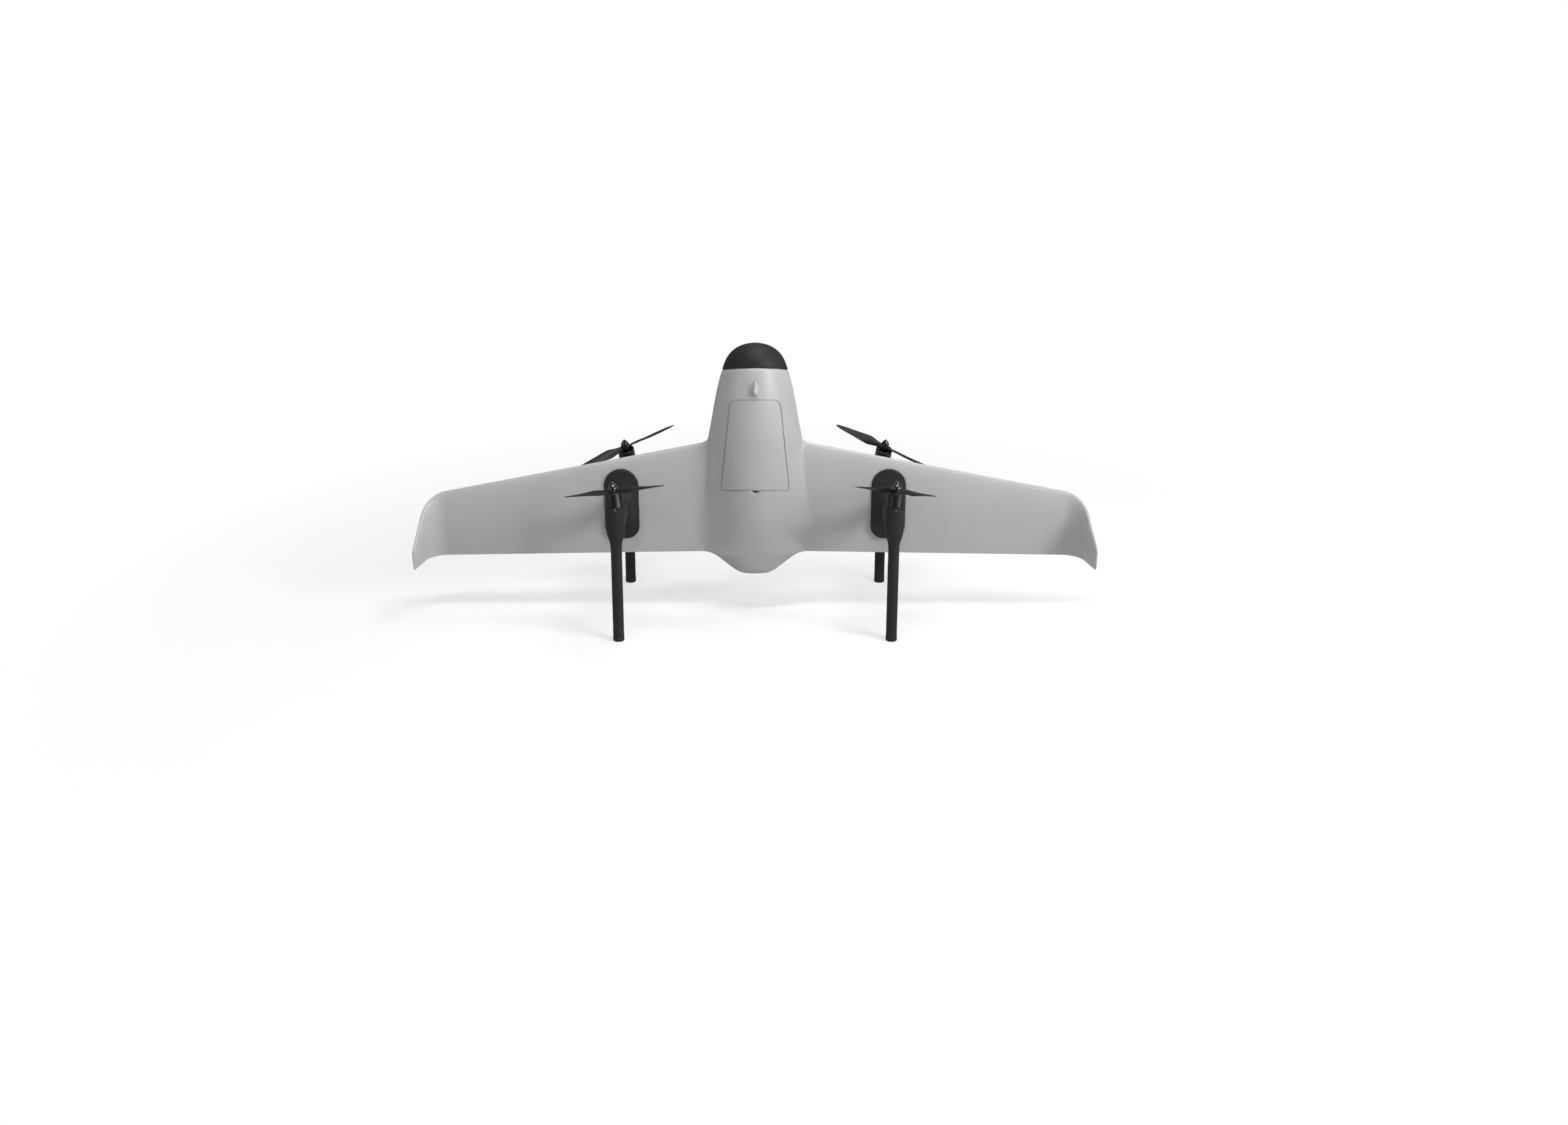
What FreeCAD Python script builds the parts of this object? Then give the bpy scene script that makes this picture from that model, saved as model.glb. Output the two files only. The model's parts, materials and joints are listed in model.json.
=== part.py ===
"""Tail-sitting flying-wing drone, standing nose up on its four legs.

+Z points to the nose, +X to the right wing tip and -Y to the dorsal side that
carries the battery hatch.  The origin is on the ground, midway between the
four feet.  All lengths are millimetres.
"""
import FreeCAD
import Part

import math
import os

V = FreeCAD.Vector

# ---------------------------------------------------------------- driving dimensions
# fuselage, measured up from the ground
NOSE_TOP = 446.0
TAIL_BOTTOM = 66.0
DOME_START = 385.0
DOME_POWER = 5.0
SHELL = 3.0

# wing planform (one side)
LE_AT_CENTRE = 301.2
LE_SLOPE = 0.196
TE_AT_CENTRE = 103.2
TE_SLOPE = 0.0157
THICKNESS_RATIO = 0.118
TE_HALF = 0.9
ROOT_JOINT_X = 120.0

# winglet, bent towards the dorsal side
BEND_START_X = 495.0
BEND_RADIUS = 35.0
BEND_ANGLE = math.radians(78)
WINGLET_PANEL = 44.0
WINGLET_LE_SLOPE = 1.03

# motor pods, on two pylons per wing
POD_X = 213.0
POD_Y = 126.0
MOTOR_LEAN_OUT = math.radians(6.6)
MOTOR_LEAN_IN = math.radians(17.5)
MOTOR_PIVOT_Z = 219.0
POD_R = 14.4
LEG_R = 8.6
LEG_BORE_R = 5.5
FOOT_HEIGHT = 9.0
POD_BOTTOM = 157.0
POD_SHOULDER = 182.0

# motor, along its own tilted axis from the pivot point
SEAT_S = -1.5
BELL_BOTTOM_S = -0.8
BELL_TOP_S = 20.7
BLADE_S = 24.1
HUB_TOP_S = 27.6
SPINNER_TIP_S = 40.0
BELL_R = 13.6
BELL_WALL = 1.4
STATOR_R = 11.4
SHAFT_R = 2.0
BEARING_R = 4.5
LOWER_BEARING_S = -0.5
UPPER_BEARING_S = 13.7
RUNNING_GAP = 0.03
PROP_RADIUS = 97.0
PROP_PITCH = 114.0
HUB_R = 6.5
SPINNER_R = 7.0

# spars
MAIN_SPAR_Z = 190.0
MAIN_SPAR_R = 5.0
MAIN_SPAR_HALF = 400.0
REAR_SPAR_Z = 146.0
REAR_SPAR_R = 2.5
REAR_SPAR_HALF = 330.0
FIT_GAP = 0.05
DUCT_Z = 216.0
DUCT_R = 4.5

# battery hatch
HATCH_FRONT_Z = 367.4
HATCH_REAR_Z = 219.4
HATCH_FRONT_HALF = 39.3
HATCH_REAR_HALF = 54.6
HATCH_SKIN = 1.7
SHUT_GAP = 0.5
HATCH_SLANT = math.tan(math.radians(15))
HATCH_FRONT_CORNER = 12.0
HATCH_REAR_CORNER = 4.0
LIP = 4.0
SCOOP_HALF = 9.8
SCOOP_LENGTH = 7.6
SCOOP_DEPTH = 2.5
HINGE_DEPTH = 0.75
HINGE_R = 0.5
HINGE_HALF = 6.0
MAGNET_X = 18.0
MAGNET_R = 3.0
MAGNET_THICK = 2.0

# air-speed probe ahead of the hatch
PROBE_Z = 380.0
PROBE_OUT = 12.0

# nose cap
CAP_Z = 403.2
CAP_TILT = math.tan(math.radians(17))
CAP_GAP = 0.4

# belly camera and power button
CAMERA_Z = 262.0
LENS_R = 9.0
BUTTON_Z = 330.0
BUTTON_R = 5.0
BUTTON_TRAVEL = 1.5

# pylon: pad on the wing, concave flare, then the strut that holds the pod
PAD_HALF, PAD_LOW, PAD_HIGH, PAD_OUT = 27.5, 127.5, 243.5, 13.0
STRUT_HALF, STRUT_LOW, STRUT_HIGH = 12.0, 170.0, 200.0
STRUT_OUT = 120.0
FLARE_LENGTH = 16.0
LEAD_Z = 188.0
LEAD_R = 1.4
LAMP_Z = 218.4
LAMP_R = 2.6

# motor name: right (+1) or left (-1), belly (+1) or top (-1), blade azimuth, spin
MOTORS = {
    "top_left": (-1, -1, -28, 1),
    "top_right": (1, -1, 43, 1),
    "belly_left": (-1, 1, 34, -1),
    "belly_right": (1, 1, -35, -1),
}

parts = {}


# ---------------------------------------------------------------- small helpers
def blend(points, at):
    """Smooth monotone curve through a short list of (position, value) points."""
    xs = [p[0] for p in points]
    ys = [p[1] for p in points]
    if at <= xs[0]:
        return ys[0]
    if at >= xs[-1]:
        return ys[-1]
    steps = [(ys[i + 1] - ys[i]) / (xs[i + 1] - xs[i]) for i in range(len(xs) - 1)]
    slopes = [steps[0]]
    for before, after in zip(steps, steps[1:]):
        together = before * after > 0
        slopes.append(2 * before * after / (before + after) if together else 0.0)
    slopes.append(steps[-1])
    i = max(k for k in range(len(xs) - 1) if xs[k] <= at)
    width = xs[i + 1] - xs[i]
    t = (at - xs[i]) / width
    rise = ys[i] * (1 + 2 * t) * (1 - t) ** 2 + ys[i + 1] * t * t * (3 - 2 * t)
    return rise + width * t * (1 - t) * (slopes[i] * (1 - t) - slopes[i + 1] * t)


def spline(points):
    curve = Part.BSplineCurve()
    curve.interpolate(points)
    return curve.toShape()


def box(x0, x1, y0, y1, z0, z1):
    return Part.makeBox(x1 - x0, y1 - y0, z1 - z0, V(x0, y0, z0))


def rod(start, end, radius):
    along = end - start
    return Part.makeCylinder(radius, along.Length, start, along)


def cross_rod(half, y, z, radius):
    """Rod along X, the same length on both sides."""
    return rod(V(-half, y, z), V(half, y, z), radius)


def fused(shapes):
    first = shapes[0]
    if len(shapes) == 1:
        return first
    return first.fuse(list(shapes[1:])).removeSplitter()


def revolved(profile):
    """Solid of revolution about Z from (radius, height) points, closed on the axis side."""
    points = [V(r, 0, z) for r, z in profile]
    face = Part.Face(Part.makePolygon(points + [points[0]]))
    return face.revolve(V(0, 0, 0), V(0, 0, 1), 360)


def edges_along(letter, solid, least):
    """Edges of a boxy solid that run along one axis for more than a least length."""
    chosen = []
    for edge in solid.Edges:
        if len(edge.Vertexes) == 2:
            ends = [getattr(vertex.Point, letter) for vertex in edge.Vertexes]
            if abs(ends[0] - ends[1]) > least:
                chosen.append(edge)
    return chosen


def keep(name, shape):
    """Store a node; a group of separate pieces stays a compound of solids."""
    solids = shape.Solids
    parts[name] = solids[0] if len(solids) == 1 else Part.makeCompound(solids)


# ---------------------------------------------------------------- fuselage form
WIDTH_POINTS = [(102, 80.5), (200, 78.5), (285, 75), (322, 68.9), (371, 60), (400, 52.6), (446, 39.5)]
TOP_POINTS = [(66, 15), (85, 22), (120, 32), (180, 45), (250, 54), (300, 55.5), (355, 50), (408, 38),
              (446, 29)]
BELLY_POINTS = [(66, 13), (85, 20), (120, 28), (180, 38), (250, 43), (300, 43), (355, 40), (408, 33),
                (446, 27)]
TAIL_FLAT_HALF = 13.0
TAIL_RISE = 37.0


def dome(z):
    if z <= DOME_START:
        return 1.0
    reach = (z - DOME_START) / (NOSE_TOP - DOME_START)
    return math.sqrt(max(0.0, 1 - reach ** DOME_POWER))


def half_width(z):
    rise = (z - TAIL_BOTTOM) / TAIL_RISE
    if rise >= 1:
        return blend(WIDTH_POINTS, z) * dome(z)
    low, high = 0.0, 1.0
    for _ in range(40):
        middle = (low + high) / 2
        if middle * middle * (3 - 2 * middle) < rise:
            low = middle
        else:
            high = middle
    return TAIL_FLAT_HALF + (blend(WIDTH_POINTS, 102) - TAIL_FLAT_HALF) * low


def tail_round(z):
    """Rounds the tail end off in thickness over its last few millimetres."""
    reach = min(1.0, (z - TAIL_BOTTOM) / 12.0)
    return 0.35 + 0.65 * math.sqrt(max(0.0, 1 - (1 - reach) ** 2))


def body_section(z, inset):
    """Closed outline: a rounded ridge on the dorsal side and a flatter belly."""
    width = max(half_width(z) - inset, 0.8)
    top = max(blend(TOP_POINTS, z) * dome(z) * tail_round(z) - inset, 0.6)
    belly = max(blend(BELLY_POINTS, z) * dome(z) * tail_round(z) - inset, 0.6)
    angles = [math.pi * i / 20 for i in range(21)]
    upper = [V(width * math.cos(a), -top * math.sin(a) ** 1.5, z) for a in angles]
    lower = [V(-width * math.cos(a), belly * math.sin(a) ** 1.15, z) for a in angles]
    upper[0].y = upper[-1].y = lower[0].y = lower[-1].y = 0.0
    return Part.Wire([spline(upper), spline(lower)])


def body_loft(inset, bottom):
    """Smooth solid from the tail to the nose, inset evenly from the outer skin."""
    tail = [bottom + step for step in (0, 1.5, 5, 11, 19, 27, 33, 37, 43)]
    middle = [z for z in (125, 150, 200, 250, 285, 322, 355, DOME_START) if z > tail[-1] + 8]
    angles = [math.radians(a) for a in (18, 36, 52, 65, 76, 83, 87.5)]
    nose = [DOME_START + (NOSE_TOP - inset - DOME_START) * math.sin(a) ** (2 / DOME_POWER) for a in angles]
    sections = [body_section(z, inset) for z in tail + middle + nose]
    return Part.makeLoft(sections, True, False)


def above_cap_plane(offset):
    """Half space on the nose side of the tilted joint between cap and fuselage."""
    reach = 200.0
    low, high = CAP_Z + CAP_TILT * reach + offset, CAP_Z - CAP_TILT * reach + offset
    corners = [V(-reach, -reach, low), V(-reach, reach, high), V(-reach, reach, 900), V(-reach, -reach, 900)]
    return Part.Face(Part.makePolygon(corners + [corners[0]])).extrude(V(2 * reach, 0, 0))


# ---------------------------------------------------------------- wing form
def leading_edge(x):
    flare = 0.03 * max(0.0, 92 - x) ** 2
    return LE_AT_CENTRE - LE_SLOPE * x + flare


def trailing_edge(x):
    return TE_AT_CENTRE - TE_SLOPE * x


def root_swell(x):
    return 1 + 1.15 * max(0.0, (100 - x) / 38) ** 2


def airfoil_half(t):
    form = 0.2969 * math.sqrt(t) - 0.126 * t - 0.3516 * t ** 2 + 0.2843 * t ** 3 - 0.1036 * t ** 4
    return 5 * form


def wing_wire(centre, normal, z_le, z_te, swell=1.0):
    """Closed section: leading edge up, thickness along `normal`, blunt trailing edge."""
    chord = z_le - z_te
    stations = [0.5 * (1 - math.cos(math.pi * i / 14)) for i in range(15)]
    sides = []
    for side in (1, -1):
        points = []
        for t in stations:
            half = airfoil_half(t) * THICKNESS_RATIO * chord * swell + TE_HALF * t
            points.append(V(centre.x, centre.y, z_le - chord * t) + normal * (side * half))
        sides.append(points)
    front, back = sides
    closing = Part.makeLine(front[-1], back[-1])
    return Part.Wire([spline(front), closing, spline(list(reversed(back)))])


def panel_wires(stations):
    wires = []
    for x in stations:
        wires.append(wing_wire(V(x, 0, 0), V(0, -1, 0), leading_edge(x), trailing_edge(x), root_swell(x)))
    return wires


def winglet_wires():
    """Right winglet sections, after the one where the bend starts."""
    arc = BEND_RADIUS * BEND_ANGLE
    z_te = trailing_edge(BEND_START_X)
    wires = []
    for s in [arc * step / 8 for step in range(1, 9)] + [arc + WINGLET_PANEL]:
        turn = min(s, arc) / BEND_RADIUS
        straight = max(0.0, s - arc)
        x = BEND_START_X + BEND_RADIUS * math.sin(turn) + straight * math.cos(turn)
        y = -BEND_RADIUS * (1 - math.cos(turn)) - straight * math.sin(turn)
        grow = (WINGLET_LE_SLOPE - LE_SLOPE) / (2 * arc) * min(s, arc) ** 2
        drop = LE_SLOPE * min(s, arc) + grow + WINGLET_LE_SLOPE * straight
        normal = V(-math.sin(turn), -math.cos(turn), 0)
        wires.append(wing_wire(V(x, y, 0), normal, leading_edge(BEND_START_X) - drop, z_te))
    return wires


# ---------------------------------------------------------------- hatch outline
def hatch_prism(shrink):
    """Trapezoid with rounded corners, cut through the dorsal skin on a downward slant."""
    y0, y1 = -90.0, -6.0
    front, rear = HATCH_FRONT_Z - shrink, HATCH_REAR_Z + shrink
    front_y = -blend(TOP_POINTS, HATCH_FRONT_Z)
    f, r = HATCH_FRONT_HALF - shrink, HATCH_REAR_HALF - shrink
    base = HATCH_SLANT * (front_y - y0)
    corners = [V(-f, y0, front + base), V(f, y0, front + base), V(r, y0, rear + base), V(-r, y0, rear + base)]
    across = V(0, y1 - y0, -HATCH_SLANT * (y1 - y0))
    solid = Part.Face(Part.makePolygon(corners + [corners[0]])).extrude(across)
    middle_z = solid.CenterOfMass.z
    front_edges = [e for e in edges_along("y", solid, 10) if e.CenterOfMass.z > middle_z]
    solid = solid.makeFillet(HATCH_FRONT_CORNER - shrink, front_edges)
    rear_edges = [e for e in edges_along("y", solid, 10) if e.CenterOfMass.z < middle_z - 50]
    return solid.makeFillet(max(HATCH_REAR_CORNER - shrink, 1.0), rear_edges)


# ---------------------------------------------------------------- motor frame
def motor_axes(name):
    sx, sy = MOTORS[name][0], MOTORS[name][1]
    out, inward = math.sin(MOTOR_LEAN_OUT), math.sin(MOTOR_LEAN_IN)
    axis = V(sx * out, -sy * inward, math.sqrt(1 - out ** 2 - inward ** 2))
    e1 = V(0, 1, 0).cross(axis)
    e1.normalize()
    e2 = axis.cross(e1)
    pivot = V(sx * POD_X, sy * POD_Y, MOTOR_PIVOT_Z)
    return pivot, axis, e1, e2


def to_motor(name, shape):
    """Move a shape from the motor's own frame, Z along the shaft, to its place."""
    pivot, axis, e1, e2 = motor_axes(name)
    matrix = FreeCAD.Matrix(
        e1.x, e2.x, axis.x, pivot.x,
        e1.y, e2.y, axis.y, pivot.y,
        e1.z, e2.z, axis.z, pivot.z,
        0, 0, 0, 1)
    moved = shape.copy()
    moved.Placement = FreeCAD.Placement(matrix).multiply(shape.Placement)
    return moved


def corner_copy(shape, sx, sy):
    """Mirror a piece made for the top right pod to another corner."""
    if sx < 0:
        shape = shape.mirror(V(0, 0, 0), V(1, 0, 0))
    if sy > 0:
        shape = shape.mirror(V(0, 0, 0), V(0, 1, 0))
    return shape


# ---------------------------------------------------------------- propeller
CHORD_POINTS = [(4, 8), (14, 10), (32, 17), (60, 13.5), (84, 9), (93, 5.5), (97, 2.2)]
PITCH_HOLD_R = 30.0


def blade(spin):
    """One blade along local +X; spin is +1 for counter-clockwise seen from the nose."""
    wires = []
    for r in (4.0, 10.0, 18.0, 30.0, 45.0, 62.0, 78.0, 90.0, PROP_RADIUS):
        chord = blend(CHORD_POINTS, r)
        pitch = math.atan(PROP_PITCH / (2 * math.pi * max(r, PITCH_HOLD_R)))
        thick = chord * (0.17 if r < 12 else 0.11) if r < PROP_RADIUS else 0.4
        ahead = V(0, spin * math.cos(pitch), math.sin(pitch))
        over = V(0, -spin * math.sin(pitch), math.cos(pitch))
        centre = V(r, -spin * 0.02 * max(0.0, r - 30), BLADE_S)
        upper, lower = [], []
        for i in range(9):
            t = i / 8
            hump = math.sin(math.pi * t) ** 0.9 if 0 < i < 8 else 0.0
            base = centre + ahead * (chord * (0.5 - t))
            upper.append(base + over * (thick * 0.75 * hump + thick * 0.12))
            lower.append(base - over * (thick * 0.25 * hump + thick * 0.12))
        edges = [spline(upper), Part.makeLine(upper[-1], lower[-1]),
                 spline(list(reversed(lower))), Part.makeLine(lower[0], upper[0])]
        wires.append(Part.Wire(edges))
    return Part.makeLoft(wires, True, False)


def propeller(name):
    azimuth, spin = MOTORS[name][2], MOTORS[name][3]
    one = blade(spin)
    other = one.copy()
    other.rotate(V(0, 0, 0), V(0, 0, 1), 180)
    hub = Part.makeCylinder(HUB_R, HUB_TOP_S - BELL_TOP_S - 0.2, V(0, 0, BELL_TOP_S + 0.2))
    solid = fused([hub, one, other]).cut(rod(V(0, 0, 0), V(0, 0, 60), SHAFT_R))
    solid.rotate(V(0, 0, 0), V(0, 0, 1), azimuth)
    return to_motor(name, solid)


# ---------------------------------------------------------------- motors
def motor_bell():
    """Outrunner can: side wall, spoked top plate and a clamp round the shaft."""
    can = Part.makeCylinder(BELL_R, BELL_TOP_S - BELL_BOTTOM_S, V(0, 0, BELL_BOTTOM_S))
    can = can.makeFillet(1.2, [e for e in can.Edges if e.CenterOfMass.z > BELL_TOP_S - 0.1 and e.Length > 50])
    inside = Part.makeCylinder(BELL_R - BELL_WALL, BELL_TOP_S - 2.0 - BELL_BOTTOM_S, V(0, 0, BELL_BOTTOM_S))
    can = can.cut(inside)
    for i in range(6):
        window = Part.makeCylinder(2.6, 6, V(8.6, 0, BELL_TOP_S - 4))
        window.rotate(V(0, 0, 0), V(0, 0, 1), 60 * i + 30)
        can = can.cut(window)
    return can.cut(rod(V(0, 0, -40), V(0, 0, 40), SHAFT_R))


def motor_stator():
    """Mounting foot, bearing tube and twelve wound poles."""
    foot = Part.makeCylinder(10.5, 1.4, V(0, 0, SEAT_S))
    tube = Part.makeCylinder(6.0, UPPER_BEARING_S + 4.0 - SEAT_S, V(0, 0, SEAT_S))
    pieces = [foot, tube]
    for i in range(12):
        pole = box(5.0, STATOR_R - 1.5, -1.1, 1.1, 4.0, 16.0)
        shoe = box(STATOR_R - 1.8, STATOR_R - 0.4, -2.4, 2.4, 4.0, 16.0)
        for piece in (pole, shoe):
            piece.rotate(V(0, 0, 0), V(0, 0, 1), 30 * i)
            pieces.append(piece)
    solid = fused(pieces)
    solid = solid.cut(rod(V(0, 0, -40), V(0, 0, 40), SHAFT_R + 0.6))
    solid = solid.cut(Part.makeCylinder(BEARING_R, LOWER_BEARING_S + 5.0 - SEAT_S, V(0, 0, SEAT_S - 1)))
    solid = solid.cut(Part.makeCylinder(BEARING_R, 10.0, V(0, 0, UPPER_BEARING_S)))
    for i in range(4):
        hole = Part.makeCylinder(1.0, 6, V(8.0, 0, SEAT_S - 3))
        hole.rotate(V(0, 0, 0), V(0, 0, 1), 45 + 90 * i)
        solid = solid.cut(hole)
    return solid


def bearing(low):
    ring = Part.makeCylinder(BEARING_R, 4.0, V(0, 0, low))
    return ring.cut(rod(V(0, 0, -40), V(0, 0, 40), SHAFT_R + RUNNING_GAP))


def spinner():
    """Pointed ogive with a small flange, screwed on to the shaft's end."""
    length = SPINNER_TIP_S - HUB_TOP_S
    outline = [V(0, 0, HUB_TOP_S), V(SPINNER_R, 0, HUB_TOP_S), V(SPINNER_R, 0, HUB_TOP_S + 1.2)]
    curve = [V(SPINNER_R * (1 - t ** 1.6) + 0.35 * t, 0, HUB_TOP_S + 1.2 + (length - 1.2) * t)
             for t in (0, 0.2, 0.4, 0.6, 0.8, 1.0)]
    tip = V(0, 0, SPINNER_TIP_S)
    edges = [Part.makeLine(outline[0], outline[1]), Part.makeLine(outline[1], outline[2]), spline(curve),
             Part.makeLine(curve[-1], tip), Part.makeLine(tip, outline[0])]
    return Part.Face(Part.Wire(edges)).revolve(V(0, 0, 0), V(0, 0, 1), 360)


def motor_screw_set():
    screws = []
    for i in range(4):
        screw = Part.makeCylinder(1.0, 4.4, V(8.0, 0, SEAT_S - 3.0))
        head = Part.makeCylinder(1.9, 1.4, V(8.0, 0, SEAT_S - 4.4))
        screw = fused([screw, head])
        screw.rotate(V(0, 0, 0), V(0, 0, 1), 45 + 90 * i)
        screws.append(screw)
    return screws


# ---------------------------------------------------------------- pods, legs and pylons
def pod():
    """Top right pod: round, necking down to the leg, with a tilted flat top for the motor."""
    name, sx, sy = "top_right", 1, -1
    neck = LEG_R + 0.5
    rise = POD_SHOULDER - POD_BOTTOM
    profile = [(0, POD_BOTTOM), (neck, POD_BOTTOM)]
    for t in (0.2, 0.4, 0.6, 0.8):
        profile.append((neck + (POD_R - neck) * t * t * (3 - 2 * t), POD_BOTTOM + rise * t))
    profile += [(POD_R, POD_SHOULDER), (POD_R, 226), (0, 226)]
    points = [V(r, 0, z) for r, z in profile]
    edges = [Part.makeLine(points[0], points[1]), spline(points[1:7]), Part.makeLine(points[6], points[7]),
             Part.makeLine(points[7], points[8]), Part.makeLine(points[8], points[0])]
    solid = Part.Face(Part.Wire(edges)).revolve(V(0, 0, 0), V(0, 0, 1), 360)
    solid.translate(V(sx * POD_X, sy * POD_Y, 0))
    solid = solid.cut(to_motor(name, Part.makeCylinder(40, 60, V(0, 0, SEAT_S))))
    socket = rod(V(sx * POD_X, sy * POD_Y, 0), V(sx * POD_X, sy * POD_Y, POD_BOTTOM + 20), LEG_R)
    wires_up = rod(V(sx * POD_X, sy * POD_Y, POD_BOTTOM + 10), V(sx * POD_X, sy * POD_Y, 230), 3.6)
    solid = solid.cut(fused([socket, wires_up]))
    solid = solid.cut(rod(V(POD_X, -POD_Y + 20, LEAD_Z), V(POD_X, -POD_Y, LEAD_Z), DUCT_R))
    for screw in motor_screw_set():
        solid = solid.cut(to_motor(name, screw))
    return solid


def obround(x, y, half, low, high, corner):
    """Closed outline in an XZ plane: full-radius top and softer lower corners."""
    top = high - half
    edges = [
        Part.Arc(V(x + half, y, top), V(x, y, high), V(x - half, y, top)).toShape(),
        Part.makeLine(V(x - half, y, top), V(x - half, y, low + corner)),
        Part.Arc(V(x - half, y, low + corner),
                 V(x - half + corner * (1 - math.sqrt(0.5)), y, low + corner * (1 - math.sqrt(0.5))),
                 V(x - half + corner, y, low)).toShape(),
        Part.makeLine(V(x - half + corner, y, low), V(x + half - corner, y, low)),
        Part.Arc(V(x + half - corner, y, low),
                 V(x + half - corner * (1 - math.sqrt(0.5)), y, low + corner * (1 - math.sqrt(0.5))),
                 V(x + half, y, low + corner)).toShape(),
        Part.makeLine(V(x + half, y, low + corner), V(x + half, y, top)),
    ]
    return Part.Wire(edges)


def pylon_section(x, out):
    """Obround at a distance from the wing plane: pad, concave flare, then strut."""
    reach = min(1.0, max(0.0, (out - PAD_OUT) / FLARE_LENGTH))
    ease = 1 - (1 - reach) ** 2.6
    half = PAD_HALF + (STRUT_HALF - PAD_HALF) * ease
    low = PAD_LOW + (STRUT_LOW - PAD_LOW) * ease
    high = PAD_HIGH + (STRUT_HIGH - PAD_HIGH) * ease
    return obround(x, -out, half, low, high, half * 0.75)


def lead_path():
    """Way of the motor leads from the wing duct through the top right pylon."""
    turns = [(0, DUCT_Z), (12, DUCT_Z - 2), (28, LEAD_Z), (STRUT_OUT, LEAD_Z)]
    return [V(POD_X, -out, z) for out, z in turns]


def pylon(wing):
    x = POD_X
    flare = [PAD_OUT + step for step in (0, 1, 3, 6, 10, FLARE_LENGTH)]
    solid = Part.makeLoft([pylon_section(x, out) for out in [0.0] + flare + [STRUT_OUT]], True, True)
    solid = solid.cut(rod(V(x, -POD_Y, 100), V(x, -POD_Y, 300), POD_R + 0.02))
    corners = lead_path()
    bends = [Part.makeSphere(DUCT_R, corner) for corner in corners[1:-1]]
    solid = solid.cut([rod(p, q, DUCT_R) for p, q in zip(corners, corners[1:])] + bends)
    return solid.cut(wing)


# ---------------------------------------------------------------- build: wings and fuselage
outer = body_loft(0.0, TAIL_BOTTOM)
cavity = body_loft(SHELL, TAIL_BOTTOM + 22)
skin_bottom = body_loft(HATCH_SKIN, TAIL_BOTTOM + 3)

right_wing = Part.makeLoft(panel_wires((ROOT_JOINT_X, BEND_START_X)) + winglet_wires(), True, True)
right_fairing = Part.makeLoft(panel_wires((62.0, 72.0, 83.0, 100.0, ROOT_JOINT_X)), True, False)
fairings = [right_fairing, right_fairing.mirror(V(0, 0, 0), V(1, 0, 0))]

main_bore = cross_rod(MAIN_SPAR_HALF + 1, 0, MAIN_SPAR_Z, MAIN_SPAR_R + FIT_GAP)
rear_bore = cross_rod(REAR_SPAR_HALF + 1, 0, REAR_SPAR_Z, REAR_SPAR_R + FIT_GAP)
tunnels = [main_bore, rear_bore, cross_rod(POD_X, 0, DUCT_Z, DUCT_R)]
for x in (-POD_X, POD_X):
    tunnels.append(rod(V(x, -30, DUCT_Z - 1), V(x, 30, DUCT_Z - 1), DUCT_R + 1))

hull = outer.fuse(fairings)
hull = hull.cut(above_cap_plane(0.0))
hull = hull.cut(cavity)
hull = hull.cut(tunnels)

opening = hatch_prism(0.0)
lip_opening = hatch_prism(LIP)
upper_lip_limit = box(-80, 80, -90, 0, 345, 400)
recess = opening.cut(skin_bottom)
# shallow finger scoop under the rear edge of the hatch
scoop_y = -blend(TOP_POINTS, HATCH_REAR_Z)
scoop = Part.makeSphere(SCOOP_HALF)
squash = FreeCAD.Matrix()
squash.scale(1, 2 * SCOOP_DEPTH / SCOOP_HALF, SCOOP_LENGTH / SCOOP_HALF)
scoop = scoop.transformGeometry(squash)
scoop.translate(V(0, scoop_y - SCOOP_DEPTH, HATCH_REAR_Z + 1.0))

top_shell = hull.common(box(-130, 130, -120, 0, 0, 460))
top_shell = top_shell.cut([recess, lip_opening, opening.common(upper_lip_limit), scoop])
belly_shell = hull.common(box(-130, 130, 0, 120, 0, 460))

lens_axis = V(0, 1, 0)
lens_place = V(0, 20, CAMERA_Z)
belly_shell = belly_shell.cut(Part.makeCylinder(LENS_R + 3.0, 60, lens_place, lens_axis))
belly_shell = belly_shell.cut(Part.makeCylinder(BUTTON_R + 0.25, 60, V(0, 20, BUTTON_Z), lens_axis))

keep("fuselage_belly_shell", belly_shell)

cored_wing = right_wing.cut(tunnels)
keep("right_wing", cored_wing)
keep("left_wing", cored_wing.mirror(V(0, 0, 0), V(1, 0, 0)))

# ---------------------------------------------------------------- build: hatch
hatch = outer.cut(skin_bottom).common(hatch_prism(SHUT_GAP))
inner_side = body_loft(HATCH_SKIN - 0.3, TAIL_BOTTOM + 3)

# a small round bead on the front edge turns in a groove in the fuselage skin
front_y = -blend(TOP_POINTS, HATCH_FRONT_Z)
hinge_y = front_y + HINGE_DEPTH
bead = cross_rod(HINGE_HALF, hinge_y, HATCH_FRONT_Z, HINGE_R)
web = box(-HINGE_HALF, HINGE_HALF, hinge_y - 0.3, hinge_y + 0.3, HATCH_FRONT_Z - 1.0, HATCH_FRONT_Z)
groove = cross_rod(HINGE_HALF + 0.2, hinge_y, HATCH_FRONT_Z, HINGE_R + FIT_GAP)

# a tongue behind the bead hooks under the skin and keeps the bead in its groove
tongue_root = box(-12, 12, front_y + 1.0, front_y + 8.4, HATCH_FRONT_Z - 12, HATCH_FRONT_Z - 2.0)
tongue_tip = box(-12, 12, front_y + 6.6, front_y + 8.4, HATCH_FRONT_Z - 12, HATCH_FRONT_Z + 7.0)
hatch = fused([hatch, bead, web, fused([tongue_root, tongue_tip]).common(inner_side)])

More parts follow.
